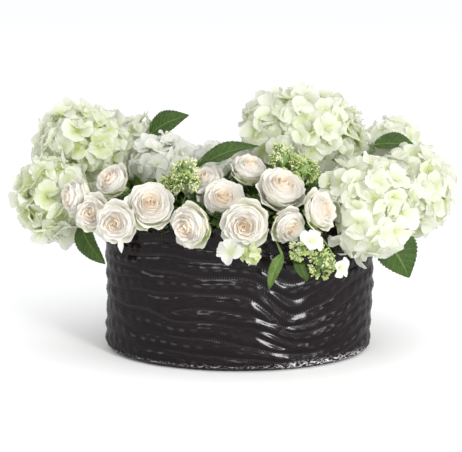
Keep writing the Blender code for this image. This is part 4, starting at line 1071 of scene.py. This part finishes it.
def rim_sprigs(blooms, rng):
    """Longer leaves that fan out over the rim and fill the gaps between the flowers."""
    count = 2600
    turn = rng.uniform(0, math.tau, count)
    flat = oval(turn, BOWL_INSIDE * rng.uniform(0.80, 0.99, count))
    feet = np.column_stack([flat, rng.uniform(0.156, 0.172, count)])
    ways = outward(flat) * rng.uniform(0.2, 1.3, count)[:, None] + UP * rng.uniform(0.05, 1.0, count)[:, None]
    ways = unit(ways + 0.35 * rng.normal(size=ways.shape))
    length = rng.uniform(0.014, 0.036, count)
    tips = feet + ways * length[:, None]
    middles = feet + ways * length[:, None] * 0.5
    clear = (outer_share(tips) < 1.22) & (tips[:, 2] > 0.150) & (np.abs(tips[:, 0]) < 0.19)
    clear &= (outer_share(middles) < 0.97) | (middles[:, 2] > BOWL_HEIGHT + 0.003)
    clear &= outside(blooms, tips, 0.99) & outside(blooms, middles, 0.90)
    return feet[clear], ways[clear], length[clear]


def mound_leaves(blooms, rng):
    """Taller leaves that stand in the middle of the bowl wherever no flower covers it."""
    count = 1500
    turn = rng.uniform(0, math.tau, count)
    flat = oval(turn, BOWL_INSIDE * np.sqrt(rng.uniform(0, 0.8, count)))
    feet = on_mound(flat, rng.uniform(0.0, 0.030, count))
    ways = unit(0.55 * UP + 0.7 * rng.normal(size=(count, 3)))
    ways[:, 2] = np.abs(ways[:, 2])
    length = rng.uniform(0.020, 0.038, count)
    tips = feet + ways * length[:, None]
    clear = (outer_share(tips) < 1.0) & outside(blooms, tips, 0.97) & outside(blooms, feet, 0.85)
    return feet[clear], ways[clear], length[clear]


def build_moss(blooms, rng):
    """The moss that covers the foam, with leaves of two greens."""
    skin = Skin()
    turn, share = np.linspace(0, math.tau, 141)[None, :], np.linspace(0.004, 0.996, 34)[:, None]
    x, y = np.moveaxis(oval(turn, BOWL_INSIDE * share), -1, 0)
    bumps = 0.0022 * np.sin(170 * x + 3 * np.sin(90 * y)) * np.cos(150 * y + 2 * np.sin(110 * x))
    bumps = bumps + 0.0014 * np.sin(390 * x + 1.0) * np.sin(410 * y + 0.4)
    skin.sheets(np.stack([x, y, mound_height(x, y) + bumps + 0.003], -1)[None], 0.5, 0.0, 0.5, 0.0)
    groups = low_leaves(blooms, rng), rim_sprigs(blooms, rng), mound_leaves(blooms, rng)
    feet, ways, length = (np.concatenate(parts) for parts in zip(*groups))
    ups = unit(np.cross(np.cross(ways, UP), ways) + 0.3 * rng.normal(size=ways.shape))
    young = rng.uniform(0, 1, len(feet)) < 0.45
    for chosen, kind in ((young, 2), (~young, 1)):
        width = length[chosen] * rng.uniform(0.34, 0.55, chosen.sum())
        chance = rng.uniform(0, 1, chosen.sum())
        scattered_leaves(skin, feet[chosen], ways[chosen], ups[chosen], length[chosen], width, chance, kind)
    skin.piece("moss_and_sprigs", [MOSS, LEAF, YOUNG_LEAF], "foam_green")


# ---- the arrangement


def build_roses(spray, members, rng):
    """The roses of a spray, each a piece; below the left front spray a loose petal hangs."""
    for number, rose in enumerate(members, 1):
        skin = Skin()
        add_rose(skin, rose, rng)
        if (spray, number) == ("left_front", 1):
            add_hanging_petal(skin)
        skin.piece(f"spray_rose_{spray}_{number}", [ROSE, BUD], "rose_cream", [f"rose_{spray}_{number}"])


def build_lace(spray, number, centre, size, facing, rng):
    """One open lace floret, nodding out of its spray."""
    skin = Skin()
    axis = unit(unit(np.array(facing)) + LACE_LEAN[spray, number])[None]
    add_florets(
        skin, None, np.array([centre]), axis, size * 1.26, 0.58, rng,
        cup=0.22, flat=0.3, grid=(14, 14), breadth=(0.48, 0.54),
    )
    skin.piece(f"lace_floret_{spray}_{number}", [WHITE_PETAL, BUD], "lace_white", [f"lace_{spray}_{number}"])


def build_buds(spray, members, blooms, rng):
    """A bud spray: its tufts, lace florets, small leaf and twigs."""
    skin = Skin()
    for cluster in members:
        add_cluster(skin, cluster, rng)
    if spray == "front":
        add_green_florets(skin, members[0], rng)
    skin.piece("bud_dome_" + spray, [BUD, PETAL], "bud_green")
    for number, floret in enumerate(BUD_SPRAYS[spray][1], 1):
        build_lace(spray, number, *floret, rng)
    blade = None
    if spray in SPRAY_LEAVES:
        foot, tip = SPRAY_LEAVES[spray][:2]
        material = YOUNG_LEAF if spray == "front" else LEAF
        build_leaf("leaflet_" + spray, SPRAY_LEAVES[spray], 11, material, blooms, rng)
        blade = (foot, tip, 0.05, 0.02)
    rounded_copy("bud_twigs_" + spray, ["buds_" + spray], STEM, blade)


# Heads look up and outwards, and bud clusters away from the rim below them.
heads = {}
for name, (centre, reach, tone, slot) in HEADS.items():
    heads[name] = Bloom(centre, reach, (0.5 * centre[0], 0.5 * centre[1], centre[2] - 0.150))
roses = {spray: [Bloom(*rose) for rose in members] for spray, members in ROSE_SPRAYS.items()}
clusters = {}
for spray, (bunches, _) in BUD_SPRAYS.items():
    clusters[spray] = []
    for (x, y, z), size in bunches:
        foot = 0.75 * x, 0.65 * y, max(z - 0.02, BOWL_HEIGHT + 0.012)
        clusters[spray].append(Bloom((x, y, z), size, np.subtract((x, y, z), foot)))
blooms = [*heads.values(), *sum(roses.values(), []), *sum(clusters.values(), [])]
share_room(blooms)

for seed, (name, bloom) in enumerate(heads.items(), 1):
    build_head(name, bloom, *HEADS[name][2:], np.random.default_rng(seed))
for seed, (spray, members) in enumerate(roses.items(), 101):
    build_roses(spray, members, np.random.default_rng(seed))
for seed, (spray, members) in enumerate(clusters.items(), 201):
    build_buds(spray, members, blooms, np.random.default_rng(seed))
rng = np.random.default_rng(301)
for name, leaf in LEAVES.items():
    build_leaf("toothed_leaf_" + name, leaf, 15, LEAF, blooms, rng)
    rounded_copy("leaf_stalk_" + name, ["leaf_" + name], STEM, (*leaf[:2], 0.10, 0.04))
rounded_copy("hydrangea_stems", ["stem_" + name for name in HEADS], STEM)
rounded_copy("rose_stems", ["spray_" + name for name in ROSE_SPRAYS], STEM)
build_bowl()
build_moss(blooms, np.random.default_rng(401))
foam_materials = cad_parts["foam"].data.materials
foam_materials.clear()
foam_materials.append(FOAM)

# ---- studio


def area_light(name, place, aim, size, power):
    """A rectangular light at a place, aimed at a point."""
    data = bpy.data.lights.new(name, "AREA")
    data.shape = "RECTANGLE"
    data.size, data.size_y = size
    data.energy = power
    light = add_object(name, data)
    light.location = place
    light.rotation_euler = (Vector(aim) - Vector(place)).to_track_quat("-Z", "Y").to_euler()


floor_mesh = bpy.data.meshes.new("floor")
floor_mesh.from_pydata([(-30, -30, 0), (30, -30, 0), (30, 30, 0), (-30, 30, 0)], [], [(0, 1, 2, 3)])
floor_mesh.materials.append(floor_material())
add_object("floor", floor_mesh)

area_light("strip", (0.80, -1.42, 0.70), (0.03, -0.08, 0.14), (0.34, 0.90), 19)
area_light("front", (-0.35, -1.90, 0.64), (0.0, 0.0, 0.14), (1.1, 0.30), 4.5)
area_light("right", (1.9, -1.2, 0.58), (0.0, 0.0, 0.14), (0.5, 0.35), 2.5)
area_light("left", (-1.6, -0.9, 0.6), (0.0, 0.0, 0.14), (0.6, 0.6), 2)
sky_light = bpy.data.lights.new("overhead", "SUN")
sky_light.energy = 0.76
sky_light.angle = math.radians(80)
add_object("overhead", sky_light).rotation_euler = (math.radians(18), math.radians(8), 0)

# Seen directly the sky is plain white. As a light it is dimmer towards the floor.
world = bpy.data.worlds.new("studio")
bpy.context.scene.world = world
world.use_nodes = True
sky = Nodes(world.node_tree)
background = world.node_tree.nodes["Background"]
background.inputs["Color"].default_value = (0.985, 0.99, 1.0, 1)
seen = sky.add("ShaderNodeLightPath").outputs["Is Camera Ray"]
way = sky.add("ShaderNodeTexCoord").outputs["Generated"]
rise = sky.add("ShaderNodeSeparateXYZ", {"Vector": way}).outputs["Z"]
dome = sky.ranged(rise, -0.05, 0.85, 0.36, 1.04, "LINEAR")
strength = sky.plus(seen, sky.times(sky.minus(1.0, seen), dome))
world.node_tree.links.new(strength, background.inputs["Strength"])

camera_data = bpy.data.cameras.new("camera")
camera_data.lens = 97.4
camera_data.sensor_width = 36
camera_data.clip_end = 100
camera = add_object("camera", camera_data)
camera.location = (-0.0096, -1.4777, 0.405)
camera.rotation_euler = (math.pi / 2 - 0.17259, 0, 0)
bpy.context.scene.camera = camera
bpy.context.scene.view_settings.view_transform = "Standard"
